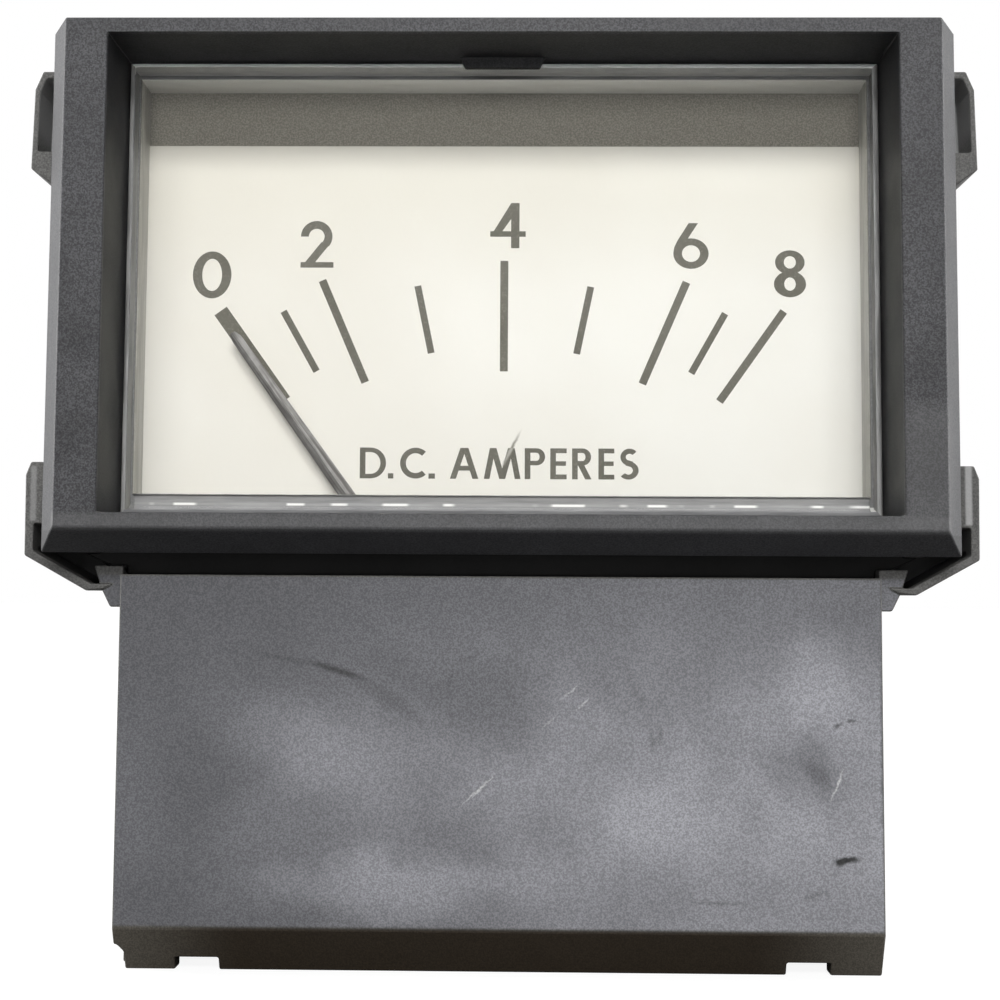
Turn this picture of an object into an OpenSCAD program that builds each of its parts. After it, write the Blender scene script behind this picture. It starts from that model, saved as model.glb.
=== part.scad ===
// Analog panel meter, 0 to 8 direct-current scale, snap-in case with rear terminal studs.
// X runs to the right, Z up, and the front faces -Y. The origin is the middle of the
// bezel, in the plane where the back of its flange meets the panel.

/* [Bezel] */
// Width of the bezel's front face
bezel_w = 59; // [50:0.5:72]
// Height of the bezel's front face
bezel_h = 34.5; // [28.5:0.5:42]
// Width of the two side rails
side_rail = 2.85; // [2.4:0.05:3.4]
// Height of the top and bottom rails
end_rail = 1.0; // [0.8:0.05:1.4]
// Depth of the flange, front face to panel
bezel_depth = 2.8; // [2.2:0.1:3.4]
// Spread of the side and bottom chamfers beyond the front face
chamfer_out = 1.65; // [1.3:0.05:2]
// Wall of the skirt at the sides
skirt_wall = 1.3; // [1:0.1:1.5]
// Width of the nib that holds the lens at the top
nib_w = 5.3; // [4:0.1:8]
// Drop of the nib below the opening's top edge
nib_drop = 0.75; // [0.5:0.05:1]

/* [Window] */
// Depth from the bezel's face to the lens
recess_depth = 5.1; // [4.3:0.1:6]
// Thickness of the lens's front plate
lens_plate = 1.0; // [0.8:0.1:1.2]
// Thickness of the lens's side walls at the plate
lens_side = 0.75; // [0.6:0.05:1]
// Thickness of the lens's top wall at the plate
lens_top = 1.1; // [0.8:0.05:1.4]
// Thickness of the lens's bottom wall
lens_bottom = 1.5; // [1.2:0.05:2]
// Thinning of the lens's walls from the plate to the dial
lens_draft = 0.25; // [0.1:0.05:0.4]
// Radius of the lens's front edges
lens_round = 0.7; // [0.4:0.05:0.9]
// Depth of the lens's short bottom wall behind its plate
lens_sill = 0.7; // [0.4:0.1:1]
// Depth from the back of the lens plate to the dial
dial_gap = 3.6; // [3.2:0.1:4.4]
// Thickness of the dial plate
dial_t = 0.4; // [0.3:0.05:0.6]
// Height of the bare wall left above the dial
dial_top_gap = 4.85; // [3:0.05:6]
// Distance of the dial screws from the dial's side edges
dial_screw_in = 4.5; // [3.5:0.1:6]

/* [Panel] */
// Thickest panel that the flange and the snaps take
panel_max = 1.4; // [1:0.1:2]
// Play between the thickest panel and the snaps
hook_play = 0.6; // [0.3:0.1:1]

/* [Housing] */
// Width of the lower body
body_w = 52.2; // [43.5:0.1:54]
// Height of the lower body's flat front face
face_h = 24; // [20:0.5:30]
// Depth of the lower body behind its front face
body_depth = 18.3; // [18:0.1:24]
// Slot between the bezel's flange and the lower body
slot_gap = 1.4; // [1:0.1:2]
// Thickness of the front face
face_wall = 1.4; // [1.1:0.1:1.7]
// Thickness of the body's side walls and floor
side_wall = 1.3; // [1:0.1:1.6]
// Wall of the frame that the bezel's skirt slides into
frame_wall = 1.2; // [1:0.1:1.4]
// Thickness of the wall behind the dial
dial_wall = 1.4; // [1:0.1:2]
// Height of the sloped lip below the front face
lip_h = 2.9; // [2:0.1:4]
// Setback of the sloped lip at the floor
lip_set = 1.2; // [0.6:0.1:1.8]
// Width of the two notches in the lip
notch_w = 3.0; // [2:0.1:4]
// Height of the notches
notch_h = 0.9; // [0.6:0.05:1.1]
// Distance of the notches from the body's sides
notch_in = 5.3; // [4:0.1:9]
// Sideways shift of the pair of notches
notch_shift = 0.3; // [0:0.05:0.5]

/* [Snaps] */
// Thickness of the springing arms
arm_t = 0.65; // [0.5:0.05:0.9]
// Height of the arms above the flange's bottom edge
arm_rise = 6.4; // [5:0.1:8]
// Reach of the arms beyond the flange
arm_reach = 1.9; // [1.5:0.05:2.3]
// Height of the nose on each arm
nose_h = 4.3; // [3:0.1:5]
// Height of the fixed lugs
lug_h = 8; // [6:0.1:9]
// Reach of the fixed lugs beyond the flange
lug_reach = 2.15; // [1.6:0.05:2.4]
// Distance from the bezel's top edge down to the lugs
lug_drop = 1.95; // [1.5:0.05:4]
// Depth of the hollow in the front of each lug
lug_hollow = 2.8; // [1:0.1:3.5]

/* [Pointer] */
// Distance of the pivot below the top of the lower body
pivot_drop = 9.5; // [9:0.1:11]
// Half of the scale's sweep, in degrees from upright
scale_half = 35.75; // [30:0.05:38]
// Overtravel to the stop past each end of the scale, in degrees
over_travel = 2; // [1:0.5:3]
// Length of the needle from the pivot
needle_len = 33.3; // [27:0.1:36]
// Width of the needle at its tip
needle_tip_w = 0.88; // [0.6:0.02:1]
// Width of the needle at the pivot
needle_root_w = 1.65; // [1.3:0.05:2]
// Thickness of the pointer's sheet
needle_t = 0.2; // [0.15:0.01:0.3]
// Tilt of each side of the folded needle, in degrees
needle_fold = 28; // [15:1:40]
// Length of the tail past the pivot
tail_len = 8.0; // [7.6:0.1:8.4]
// Distance of the balance weight from the pivot
weight_at = 7.1; // [6.5:0.1:7.2]
// Radius of the balance weight
weight_r = 0.95; // [0.8:0.05:1.1]
// Length of the balance weight
weight_len = 1.65; // [1.3:0.05:1.9]

/* [Movement] */
// Radius of the pivot staff
staff_r = 0.6; // [0.5:0.05:0.8]
// Radius of the staff's pivots
tip_r = 0.3; // [0.2:0.05:0.35]
// Radius of the bearing screws
bearing_r = 1.3; // [1.1:0.05:1.6]
// Thickness of the bracket's sheet
bracket_t = 0.7; // [0.5:0.05:0.8]
// Width of the bracket
bracket_w = 14; // [13:0.5:16]
// Distance of the bracket's floor below the pivot
bracket_drop = 9.6; // [9.5:0.1:9.8]
// Distance of the stop pins from the pivot
stop_at = 5; // [4.6:0.1:5.4]
// Radius of the stop pins
stop_r = 0.45; // [0.35:0.05:0.55]
// Length of the iron vane
vane_len = 9.2; // [8:0.1:9.6]
// Width of the iron vane
vane_w = 2.8; // [2.4:0.1:3.2]
// Thickness of the iron vane
vane_t = 0.8; // [0.5:0.1:1]
// Height of the magnet
magnet_h = 3.3; // [2.6:0.1:3.5]
// Length of the magnet from front to back
magnet_len = 6.5; // [5:0.1:7]
// Height of the conductor strap
strap_h = 6; // [5:0.1:7]
// Thickness of the conductor strap
strap_t = 1.2; // [0.8:0.1:1.4]

/* [Terminals] */
// Distance between the two studs
stud_pitch = 31.8; // [29:0.1:33]
// Radius of the studs
stud_r = 2.08; // [1.7:0.01:2.2]
// Length of the studs behind the back cover
stud_out = 14; // [12:0.5:18]
// Width of the nuts across flats
nut_af = 8; // [7:0.1:8.7]
// Thickness of each nut
nut_t = 3; // [2.4:0.1:3.4]
// Thickness of the back cover
cover_t = 2; // [1.6:0.1:3]
// Radius of the cover screws
screw_r = 1.1; // [0.9:0.05:1.3]

/* [Fits] */
// Gap between parts that slide together
slide_gap = 0.1; // [0.05:0.01:0.15]
// Gap round threads and pressed pins
thread_gap = 0.03; // [0.02:0.01:0.06]
// Gap round the pivots in their bearings
pivot_gap = 0.05; // [0.02:0.01:0.08]

/* [Hidden] */
$fn = 48;
cut = 0.5;

// Planes from front to back
front_y = -bezel_depth;
lens_y = front_y + recess_depth;
plate_y = lens_y + lens_plate;
dial_y = plate_y + dial_gap;
dial_wall_y = dial_y + dial_t;
rear_wall_y = dial_wall_y + dial_wall;
face_y = panel_max;
inner_y = face_y + face_wall;
back_y = face_y + body_depth;
cover_y = back_y + cover_t;
hook_y = panel_max + hook_play;
arm_back_y = dial_wall_y - 0.4;

// Bezel and window
open_x = bezel_w / 2 - side_rail;
open_z = bezel_h / 2 - end_rail;
flange_x = bezel_w / 2 + chamfer_out;
flange_z = -bezel_h / 2 - chamfer_out;
top_z = bezel_h / 2;
skirt_x = open_x + skirt_wall;
skirt_y = dial_wall_y - slide_gap;
skirt_floor_y = plate_y + lens_sill + 0.3;
catch_y = 3;
catch_len = 2;
catch_h = 6;
catch_out = 0.6;
frame_in_x = skirt_x + slide_gap;
frame_x = frame_in_x + frame_wall;
lens_x = open_x - slide_gap / 2;
lens_z = open_z - slide_gap / 2;
lens_back_y = dial_y - slide_gap;
foot_x = 15;
foot_w = 5;
foot_drop = 0.6;
foot_y = lens_y + 0.9;
dial_x = open_x - slide_gap;
dial_top_z = open_z - dial_top_gap;
dial_low_z = -top_z - 2.15;
dial_screw_x = dial_x - dial_screw_in;
dial_screw_z = dial_low_z + 2;
dial_screw_r = 0.8;
dial_boss = 2;

// Lower body
body_x = body_w / 2;
body_top_z = flange_z - slot_gap;
face_low_z = body_top_z - face_h;
floor_z = face_low_z - lip_h;
web_t = 1.2;
web_y = inner_y + 0.6;
notch_x = body_x - notch_in;
lip_back_y = face_y + lip_set + side_wall;
under_z = floor_z + notch_h + 0.4;
floor_in_z = under_z + side_wall;
chip_w = 0.65;
chip_h = 1.8;
boss_r = 2.2;
boss_x = body_x - side_wall - boss_r + 0.4;
boss_top_z = body_top_z - face_wall - boss_r + 0.4;
boss_low_z = floor_in_z + boss_r - 0.4;
boss_hole_len = 9;

// Snap arms, ears and lugs
arm_x = flange_x + arm_reach;
shield_x = arm_x - 0.2;
arm_top_z = flange_z + arm_rise;
frame_low_z = flange_z + 0.1;
elbow_z = flange_z - 0.1;
nose_x = flange_x + 0.15;
ear_out = 2.05;
ear_rise = 0.6;
ear_drop = 2.25;
root_x = body_x + 1.3;
root_z = body_top_z - 0.95;
lug_x = flange_x + lug_reach;
lug_top_z = top_z - lug_drop;
lug_low_z = lug_top_z - lug_h;
hollow_low_z = lug_low_z + 0.28 * lug_h;
hollow_top_z = lug_top_z - 0.5;

// Movement
pivot_z = body_top_z - pivot_drop;
leg_y = inner_y + 1.2;
leg_back_y = leg_y + bracket_t;
needle_y = leg_back_y + 0.8;
hub_r = 1.7;
spigot_r = 0.95;
hub_y = needle_y + needle_t;
hub_back_y = hub_y + 0.8;
rear_leg_y = back_y - 2.5;
rear_leg_back_y = rear_leg_y + bracket_t;
tip_len = 0.6;
cup_depth = 0.6;
front_cup_y = needle_y - 0.3;
rear_cup_y = rear_leg_y - 1.2;
staff_front_y = front_cup_y - cup_depth + 0.1;
staff_back_y = rear_cup_y + cup_depth - 0.1;
locknut_t = 0.8;
locknut_af = 4.2;
vane_y = needle_y + 3.7;
collar_t = 0.8;
collar_r = 1.4;
strap_y = vane_y + vane_t + 1.2;
strap_leg_x = 10.5;
strap_hole_r = 1.7;
magnet_w = 12;
magnet_y = hub_y + weight_len + 0.5;
bracket_low_z = pivot_z - bracket_drop;
bracket_screw_x = 4.8;
bracket_screw_z = pivot_z + 4.6;
bracket_screw_r = 0.9;
stop_angle = scale_half + over_travel
    + asin((needle_root_w * cos(needle_fold) / 2 + stop_r + 0.05) / stop_at);

// Terminals
stud_x = stud_pitch / 2;
head_t = 2.4;
head_af = 7;
washer_t = 0.8;
lock_t = 0.9;
washer_r = 4.4;
strap_back_y = back_y;
head_y = strap_back_y - strap_t - head_t;
nut_y = cover_y + washer_t;
lock_y = nut_y + nut_t;
outer_nut_y = lock_y + lock_t;
lead_y = outer_nut_y + nut_t + 0.3;
thread_core_r = stud_r - 0.25;

// Solid from an outline in X and Z, between two planes across Y
module along_y(y0, y1) {
    translate([0, y1, 0])
        rotate([90, 0, 0])
            linear_extrude(y1 - y0)
                children();
}

// Solid from an outline in Y and Z, between two planes across X
module along_x(x0, x1) {
    translate([x0, 0, 0])
        rotate([90, 0, 90])
            linear_extrude(x1 - x0)
                children();
}

// Solid from an outline in X and Y, between two planes across Z
module along_z(z0, z1) {
    translate([0, 0, z0])
        linear_extrude(z1 - z0)
            children();
}

// Box from its lowest corner to its highest
module block(low, high) {
    translate(low)
        cube(high - low);
}

// Rod along Y
module rod(x, z, r, y0, y1) {
    translate([x, y0, z])
        rotate([-90, 0, 0])
            cylinder(r = r, h = y1 - y0);
}

// Six-sided prism along Y, sized across its flats
module hexagon(x, z, flats, y0, y1) {
    translate([x, y0, z])
        rotate([-90, 0, 0])
            cylinder(r = flats / 2 / cos(30), h = y1 - y0, $fn = 6);
}

// The same shape on the right and on the left
module both_sides() {
    children();
    mirror([1, 0, 0])
        children();
}

// Turned about the pivot to the pointer's rest position
module at_rest() {
    translate([0, 0, pivot_z])
        rotate([0, -scale_half, 0])
            children();
}

// Flange with side chamfers to the top and a mitred chamfer along the bottom
module flange() {
    intersection() {
        along_z(flange_z, top_z)
            polygon([
                [-bezel_w / 2, front_y], [bezel_w / 2, front_y], [flange_x, 0], [-flange_x, 0]
            ]);
        along_x(-flange_x, flange_x)
            polygon([[front_y, -bezel_h / 2], [front_y, top_z], [0, top_z], [0, flange_z]]);
    }
}

module bezel() {
    color("#3a3b3e")
        difference() {
            union() {
                flange();
                block([-skirt_x, -cut, -top_z], [skirt_x, skirt_y, top_z]);
                both_sides()
                    block([skirt_x - cut, catch_y, -catch_h / 2],
                        [skirt_x + catch_out, catch_y + catch_len, catch_h / 2]);
            }
            block([-open_x, front_y - cut, -open_z], [open_x, skirt_y + cut, open_z]);
            block([-open_x, skirt_floor_y, -top_z - cut], [open_x, skirt_y + cut, 0]);
            both_sides()
                block([foot_x - foot_w / 2 - slide_gap, foot_y - slide_gap,
                    -lens_z - foot_drop - slide_gap],
                    [foot_x + foot_w / 2 + slide_gap, skirt_floor_y + cut, 0]);
        }
    color("#3a3b3e")
        along_y(lens_y - 0.55, lens_y - 0.05)
            polygon([
                [-nib_w / 2 - 0.3, open_z + end_rail / 2], [-nib_w / 2 - 0.3, open_z],
                [-nib_w / 2, open_z - nib_drop], [nib_w / 2, open_z - nib_drop],
                [nib_w / 2 + 0.3, open_z], [nib_w / 2 + 0.3, open_z + end_rail / 2]
            ]);
}

// Front outline with its two front corners rounded, from -half to half
module rounded_front(half) {
    flat_half = half - lens_round;
    polygon([
        [-half, lens_y + lens_round], [half, lens_y + lens_round],
        [half, lens_back_y], [-half, lens_back_y]
    ]);
    polygon([
        [-flat_half, lens_y], [flat_half, lens_y],
        [flat_half, lens_y + lens_round + 0.1], [-flat_half, lens_y + lens_round + 0.1]
    ]);
    for (side = [-1, 1])
        translate([side * flat_half, lens_y + lens_round])
            circle(lens_round);
}

module lens() {
    color("#dfe6ea", 0.35) {
        both_sides()
            block([foot_x - foot_w / 2, foot_y, -lens_z - foot_drop],
                [foot_x + foot_w / 2, plate_y + lens_sill, 0.5 - lens_z]);
        difference() {
            intersection() {
                along_z(-lens_z, lens_z)
                    rounded_front(lens_x);
                along_x(-lens_x, lens_x)
                    mirror([1, -1, 0])
                        rounded_front(lens_z);
            }
            intersection() {
                along_z(-lens_z - cut, lens_z + cut)
                    polygon([
                        [lens_side - lens_x, plate_y], [lens_x - lens_side, plate_y],
                        [lens_x - lens_side + lens_draft, lens_back_y + cut],
                        [lens_side - lens_x - lens_draft, lens_back_y + cut]
                    ]);
                along_x(-lens_x - cut, lens_x + cut)
                    polygon([
                        [plate_y, lens_bottom - lens_z], [plate_y, lens_z - lens_top],
                        [lens_back_y + cut, lens_z - lens_top + lens_draft],
                        [lens_back_y + cut, lens_bottom - lens_z]
                    ]);
            }
            block([lens_side - lens_x, plate_y + lens_sill, -lens_z - cut],
                [lens_x - lens_side, lens_back_y + cut, 0]);
        }
    }
}

module dial_plate() {
    color("#efece2")
        difference() {
            block([-dial_x, dial_y, dial_low_z], [dial_x, dial_wall_y, dial_top_z]);
            both_sides()
                rod(dial_screw_x, dial_screw_z, dial_screw_r + thread_gap, dial_y - cut,
                    dial_wall_y + cut);
        }
}

// Screw along Y with a slotted round head, its head facing the front
module slotted_screw(x, z, r, head_r, head_y0, head_y1, end_y) {
    difference() {
        union() {
            rod(x, z, head_r, head_y0, head_y1);
            rod(x, z, r, head_y1 - 0.1, end_y);
        }
        block([x - head_r, head_y0 - cut, z - head_r / 8],
            [x + head_r, head_y0 + (head_y1 - head_y0) / 2, z + head_r / 8]);
    }
}

module dial_screws() {
    color("#b9a066")
        both_sides()
            slotted_screw(dial_screw_x, dial_screw_z, dial_screw_r, 1.7 * dial_screw_r,
                dial_y - 0.8, dial_y, rear_wall_y + dial_boss - 0.6);
}

// Springing arm, from its root at the ear to the nose beside the bezel
module arm() {
    along_y(hook_y, arm_back_y)
        polygon([
            [root_x, root_z - 0.05], [root_x + 1.2, root_z - 0.2], [arm_x - 0.05, elbow_z],
            [arm_x, arm_top_z - 0.9], [arm_x - 0.35, arm_top_z], [nose_x, arm_top_z],
            [nose_x, arm_top_z - nose_h], [arm_x - arm_t, arm_top_z - nose_h],
            [arm_x - arm_t, elbow_z + 0.3], [root_x + 0.9, root_z + 0.3],
            [root_x - 0.6, root_z + 0.3]
        ]);
}

// Ear that carries the arm at the body's top corner
module ear() {
    along_y(hook_y + 0.2, rear_wall_y)
        polygon([
            [body_x, body_top_z + ear_rise], [body_x + ear_out, body_top_z + ear_rise],
            [root_x + 0.25, root_z], [root_x - 0.4, body_top_z - ear_drop],
            [body_x - cut, body_top_z - ear_drop], [body_x - cut, body_top_z - 0.3],
            [body_x, body_top_z - 0.3]
        ]);
}

// Fixed lug with its hollow front
module lug() {
    difference() {
        along_y(hook_y, rear_wall_y)
            polygon([
                [frame_x - cut, lug_top_z], [lug_x - 0.7, lug_top_z],
                [lug_x - 0.15, lug_top_z - 1.3], [lug_x, lug_low_z + 1],
                [flange_x + 0.75, lug_low_z], [frame_x - cut, lug_low_z - 0.6]
            ]);
        along_y(hook_y - cut, hook_y + lug_hollow)
            polygon([
                [flange_x - 0.6, hollow_low_z], [lug_x - 0.45, hollow_low_z],
                [lug_x - 0.55, lug_top_z - 1.5], [lug_x - 0.95, hollow_top_z],
                [flange_x - 0.6, hollow_top_z]
            ]);
    }
}

// Wall behind the dial, widened behind the arms to close the gap beside the bezel
module dial_back() {
    along_y(dial_wall_y, rear_wall_y) {
        polygon([
            [-body_x, body_top_z - 0.2], [body_x, body_top_z - 0.2], [frame_x, frame_low_z],
            [frame_x, top_z], [-frame_x, top_z], [-frame_x, frame_low_z]
        ]);
        for (side = [-1, 1])
            polygon([
                [side * (body_x - cut), root_z], [side * (root_x + 0.3), root_z],
                [side * shield_x, elbow_z], [side * shield_x, arm_top_z],
                [side * (frame_x - cut), arm_top_z]
            ]);
    }
}

// Wall across the slot, between the lower body and the underside of the bezel's skirt
module web() {
    low_z = body_top_z - face_wall;
    high_z = -top_z - slide_gap;
    along_y(web_y, web_y + web_t)
        polygon([
            [-body_x + 0.2, low_z], [body_x - 0.2, low_z], [body_x - 0.2, body_top_z],
            [frame_x, frame_low_z], [frame_x, high_z], [-frame_x, high_z],
            [-frame_x, frame_low_z], [-body_x + 0.2, body_top_z]
        ]);
}

// Lower body: front face, sloped lip and walls, open at the back and through its top
module lower_body() {
    in_x = body_x - side_wall;
    difference() {
        along_x(-body_x, body_x)
            polygon([
                [face_y, body_top_z], [face_y, face_low_z], [face_y + lip_set, floor_z],
                [back_y, floor_z], [back_y, body_top_z]
            ]);
        block([-in_x, inner_y, floor_in_z], [in_x, back_y + cut, body_top_z - face_wall]);
        block([-in_x, lip_back_y, floor_z - cut], [in_x, back_y + cut, under_z]);
        block([-in_x, web_y + web_t, body_top_z - 3], [in_x, dial_wall_y, body_top_z + cut]);
        for (x = [notch_shift - notch_x, notch_shift + notch_x])
            block([x - notch_w / 2, face_y - cut, floor_z - cut],
                [x + notch_w / 2, lip_back_y + cut, floor_z + notch_h]);
        along_y(face_y - cut, lip_back_y + cut)
            polygon([
                [-body_x - cut, floor_z - cut], [chip_w - body_x, floor_z - cut],
                [chip_w - body_x, floor_z + 0.7 * chip_h],
                [0.3 * chip_w - body_x, floor_z + chip_h], [-body_x - cut, floor_z + chip_h]
            ]);
    }
}

module housing() {
    color("#6a6a6c")
        difference() {
            union() {
                lower_body();
                web();
                dial_back();
                both_sides() {
                    block([frame_in_x, slide_gap, frame_low_z], [frame_x, rear_wall_y, top_z]);
                    arm();
                    ear();
                    lug();
                    for (z = [boss_top_z, boss_low_z])
                        rod(boss_x, z, boss_r, inner_y - 0.1, back_y);
                    rod(dial_screw_x, dial_screw_z, 1.8, rear_wall_y - 0.1,
                        rear_wall_y + dial_boss);
                }
            }
            both_sides() {
                block([skirt_x, catch_y - slide_gap, -catch_h / 2 - slide_gap],
                    [frame_x + cut, catch_y + catch_len + slide_gap, catch_h / 2 + slide_gap]);
                for (z = [boss_top_z, boss_low_z])
                    rod(boss_x, z, screw_r + thread_gap, back_y - boss_hole_len, back_y + cut);
                rod(dial_screw_x, dial_screw_z, dial_screw_r + thread_gap, dial_wall_y - cut,
                    rear_wall_y + dial_boss + cut);
            }
        }
}

module back_cover() {
    rim = side_wall + slide_gap;
    color("#2c2c2e")
        difference() {
            union() {
                block([-body_x, back_y, floor_z], [body_x, cover_y, body_top_z]);
                both_sides()
                    rod(bracket_screw_x, bracket_screw_z, 2.1, rear_leg_back_y, back_y + 0.1);
                rod(0, bracket_low_z + 2.6, 2.1, rear_leg_back_y, back_y + 0.1);
                both_sides()
                    block([body_x - rim - 1, back_y - 1.2, boss_low_z + boss_r + 1],
                        [body_x - rim, back_y + 0.1, pivot_z - strap_h / 2 - 1]);
            }
            both_sides() {
                for (z = [boss_top_z, boss_low_z])
                    rod(boss_x, z, screw_r + 0.15, back_y - cut, cover_y + cut);
                rod(stud_x, pivot_z, stud_r + slide_gap, back_y - cut, cover_y + cut);
                rod(bracket_screw_x, bracket_screw_z, bracket_screw_r + thread_gap,
                    rear_leg_back_y - cut, back_y + 1.2);
            }
            rod(0, bracket_low_z + 2.6, bracket_screw_r + thread_gap, rear_leg_back_y - cut,
                back_y + 1.2);
        }
}

module cover_screws() {
    color("#9a9a9c")
        both_sides()
            for (z = [boss_top_z, boss_low_z])
                translate([0, 2 * cover_y, 0])
                    mirror([0, 1, 0])
                        slotted_screw(boss_x, z, screw_r, 1.9 * screw_r, cover_y - 1.3,
                            cover_y, 2 * cover_y - back_y + 7);
}

// U-shaped bracket of bent sheet, which holds both bearings
module movement_bracket() {
    half = bracket_w / 2;
    leg_top = bracket_screw_z + 2.4;
    color("#c2a45a")
        difference() {
            union() {
                block([-half, leg_y, bracket_low_z], [half, leg_back_y, pivot_z]);
                rod(0, pivot_z, stop_at + stop_r + 1, leg_y, leg_back_y);
                block([-half, leg_y, bracket_low_z],
                    [half, rear_leg_back_y, bracket_low_z + bracket_t]);
                block([-half, rear_leg_y, bracket_low_z], [half, rear_leg_back_y, leg_top]);
            }
            rod(0, pivot_z, bearing_r + thread_gap, leg_y - cut, rear_leg_back_y + cut);
            both_sides() {
                rod(bracket_screw_x, bracket_screw_z, bracket_screw_r + 0.1, rear_leg_y - cut,
                    rear_leg_back_y + cut);
                rod(stop_at * sin(stop_angle), pivot_z + stop_at * cos(stop_angle),
                    stop_r + thread_gap, leg_y - cut, leg_back_y + cut);
            }
            rod(0, bracket_low_z + 2.6, bracket_screw_r + 0.1, rear_leg_y - cut,
                rear_leg_back_y + cut);
        }
}

module bracket_screws() {
    color("#b9a066") {
        both_sides()
            slotted_screw(bracket_screw_x, bracket_screw_z, bracket_screw_r,
                1.8 * bracket_screw_r, rear_leg_y - 0.9, rear_leg_y, back_y + 0.9);
        slotted_screw(0, bracket_low_z + 2.6, bracket_screw_r, 1.8 * bracket_screw_r,
            rear_leg_y - 0.9, rear_leg_y, back_y + 0.9);
    }
}

// Slotted screw with a cup for the staff's pivot in the end that faces the movement
module front_bearing() {
    slot_y = leg_y - 1.05;
    color("#d0b36a")
        difference() {
            rod(0, pivot_z, bearing_r, slot_y, front_cup_y);
            rod(0, pivot_z, tip_r + pivot_gap, front_cup_y - cup_depth, front_cup_y + cut);
            block([-bearing_r - cut, slot_y - cut, pivot_z - 0.2],
                [bearing_r + cut, slot_y + 0.5, pivot_z + 0.2]);
        }
}

module rear_bearing() {
    slot_y = rear_leg_back_y + 1.2;
    color("#d0b36a")
        difference() {
            rod(0, pivot_z, bearing_r, rear_cup_y, slot_y);
            rod(0, pivot_z, tip_r + pivot_gap, rear_cup_y - cut, rear_cup_y + cup_depth);
            block([-bearing_r - cut, slot_y - 0.5, pivot_z - 0.2],
                [bearing_r + cut, slot_y + cut, pivot_z + 0.2]);
        }
}

module bearing_locknuts() {
    color("#c2a45a")
        difference() {
            for (y = [leg_y - locknut_t, rear_leg_back_y])
                hexagon(0, pivot_z, locknut_af, y, y + locknut_t);
            rod(0, pivot_z, bearing_r + thread_gap, leg_y - 2, rear_leg_back_y + 2);
        }
}

module stop_pins() {
    color("#c2a45a")
        both_sides()
            rod(stop_at * sin(stop_angle), pivot_z + stop_at * cos(stop_angle), stop_r, leg_y,
                hub_y + 0.4);
}

module magnet() {
    base_z = bracket_low_z + bracket_t;
    color("#4b4b50")
        block([-magnet_w / 2, magnet_y, base_z],
            [magnet_w / 2, magnet_y + magnet_len, base_z + magnet_h]);
}

// Strap between the studs: it steps forward to pass close behind the vane
module conductor_strap() {
    end_x = stud_x + head_af / 2 + 0.6;
    color("#b87a4b")
        difference() {
            along_z(pivot_z - strap_h / 2, pivot_z + strap_h / 2)
                polygon([
                    [-end_x, strap_back_y - strap_t], [-strap_leg_x - strap_t,
                    strap_back_y - strap_t], [-strap_leg_x - strap_t, strap_y],
                    [strap_leg_x + strap_t, strap_y], [strap_leg_x + strap_t,
                    strap_back_y - strap_t], [end_x, strap_back_y - strap_t],
                    [end_x, strap_back_y], [strap_leg_x, strap_back_y],
                    [strap_leg_x, strap_y + strap_t], [-strap_leg_x, strap_y + strap_t],
                    [-strap_leg_x, strap_back_y], [-end_x, strap_back_y]
                ]);
            rod(0, pivot_z, strap_hole_r, strap_y - cut, strap_y + strap_t + cut);
            both_sides()
                rod(stud_x, pivot_z, stud_r + slide_gap, strap_back_y - strap_t - cut,
                    strap_back_y + cut);
        }
}

module pivot_staff() {
    color("#d8dadd") {
        rod(0, pivot_z, staff_r, staff_front_y + tip_len, staff_back_y - tip_len);
        rod(0, pivot_z, tip_r, staff_front_y, staff_back_y);
    }
}

// One side of the folded needle: the ridge faces the front and the edges bend back
module needle_side(side) {
    root = hub_r + 0.15;
    rotate([0, 0, side * needle_fold])
        along_y(0, needle_t)
            polygon([
                [0, root], [side * needle_root_w / 2, root],
                [side * needle_tip_w / 2, needle_len - 0.5],
                [side * needle_tip_w / 4, needle_len], [0, needle_len]
            ]);
}

module pointer() {
    tail_r = needle_root_w / 2;
    color("#55565a")
        at_rest() {
            for (side = [-1, 1])
                translate([0, needle_y, 0])
                    needle_side(side);
            difference() {
                along_y(needle_y, hub_y) {
                    circle(hub_r + 0.5);
                    translate([-tail_r, tail_r - tail_len])
                        square([2 * tail_r, tail_len]);
                    translate([0, tail_r - tail_len])
                        circle(tail_r);
                }
                rod(0, 0, spigot_r, needle_y - cut, hub_y + cut);
            }
        }
}

module pointer_hub() {
    color("#c2a45a")
        difference() {
            union() {
                rod(0, pivot_z, spigot_r, needle_y - 0.15, hub_y + 0.1);
                rod(0, pivot_z, hub_r, hub_y, hub_back_y);
            }
            rod(0, pivot_z, staff_r, needle_y - cut, hub_back_y + cut);
        }
}

module balance_weight() {
    color("#c2a45a")
        at_rest()
            rod(0, -weight_at, weight_r, hub_y, hub_y + weight_len);
}

module iron_vane() {
    color("#7d7f84")
        difference() {
            along_y(vane_y, vane_y + vane_t)
                translate([0, pivot_z]) {
                    square([vane_len - vane_w, vane_w], center = true);
                    for (side = [-1, 1])
                        translate([side * (vane_len - vane_w) / 2, 0])
                            circle(vane_w / 2);
                }
            rod(0, pivot_z, staff_r, vane_y - cut, vane_y + vane_t + cut);
        }
}

module vane_collar() {
    color("#c2a45a")
        difference() {
            rod(0, pivot_z, collar_r, vane_y - collar_t, vane_y);
            rod(0, pivot_z, staff_r, vane_y - collar_t - cut, vane_y + cut);
        }
}

module terminal_studs() {
    color("#c9ab62")
        both_sides() {
            hexagon(stud_x, pivot_z, head_af, head_y, head_y + head_t);
            rod(stud_x, pivot_z, thread_core_r, head_y + 0.1, lead_y + 0.1);
            rod(stud_x, pivot_z, stud_r, lead_y, cover_y + stud_out);
        }
}

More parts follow.
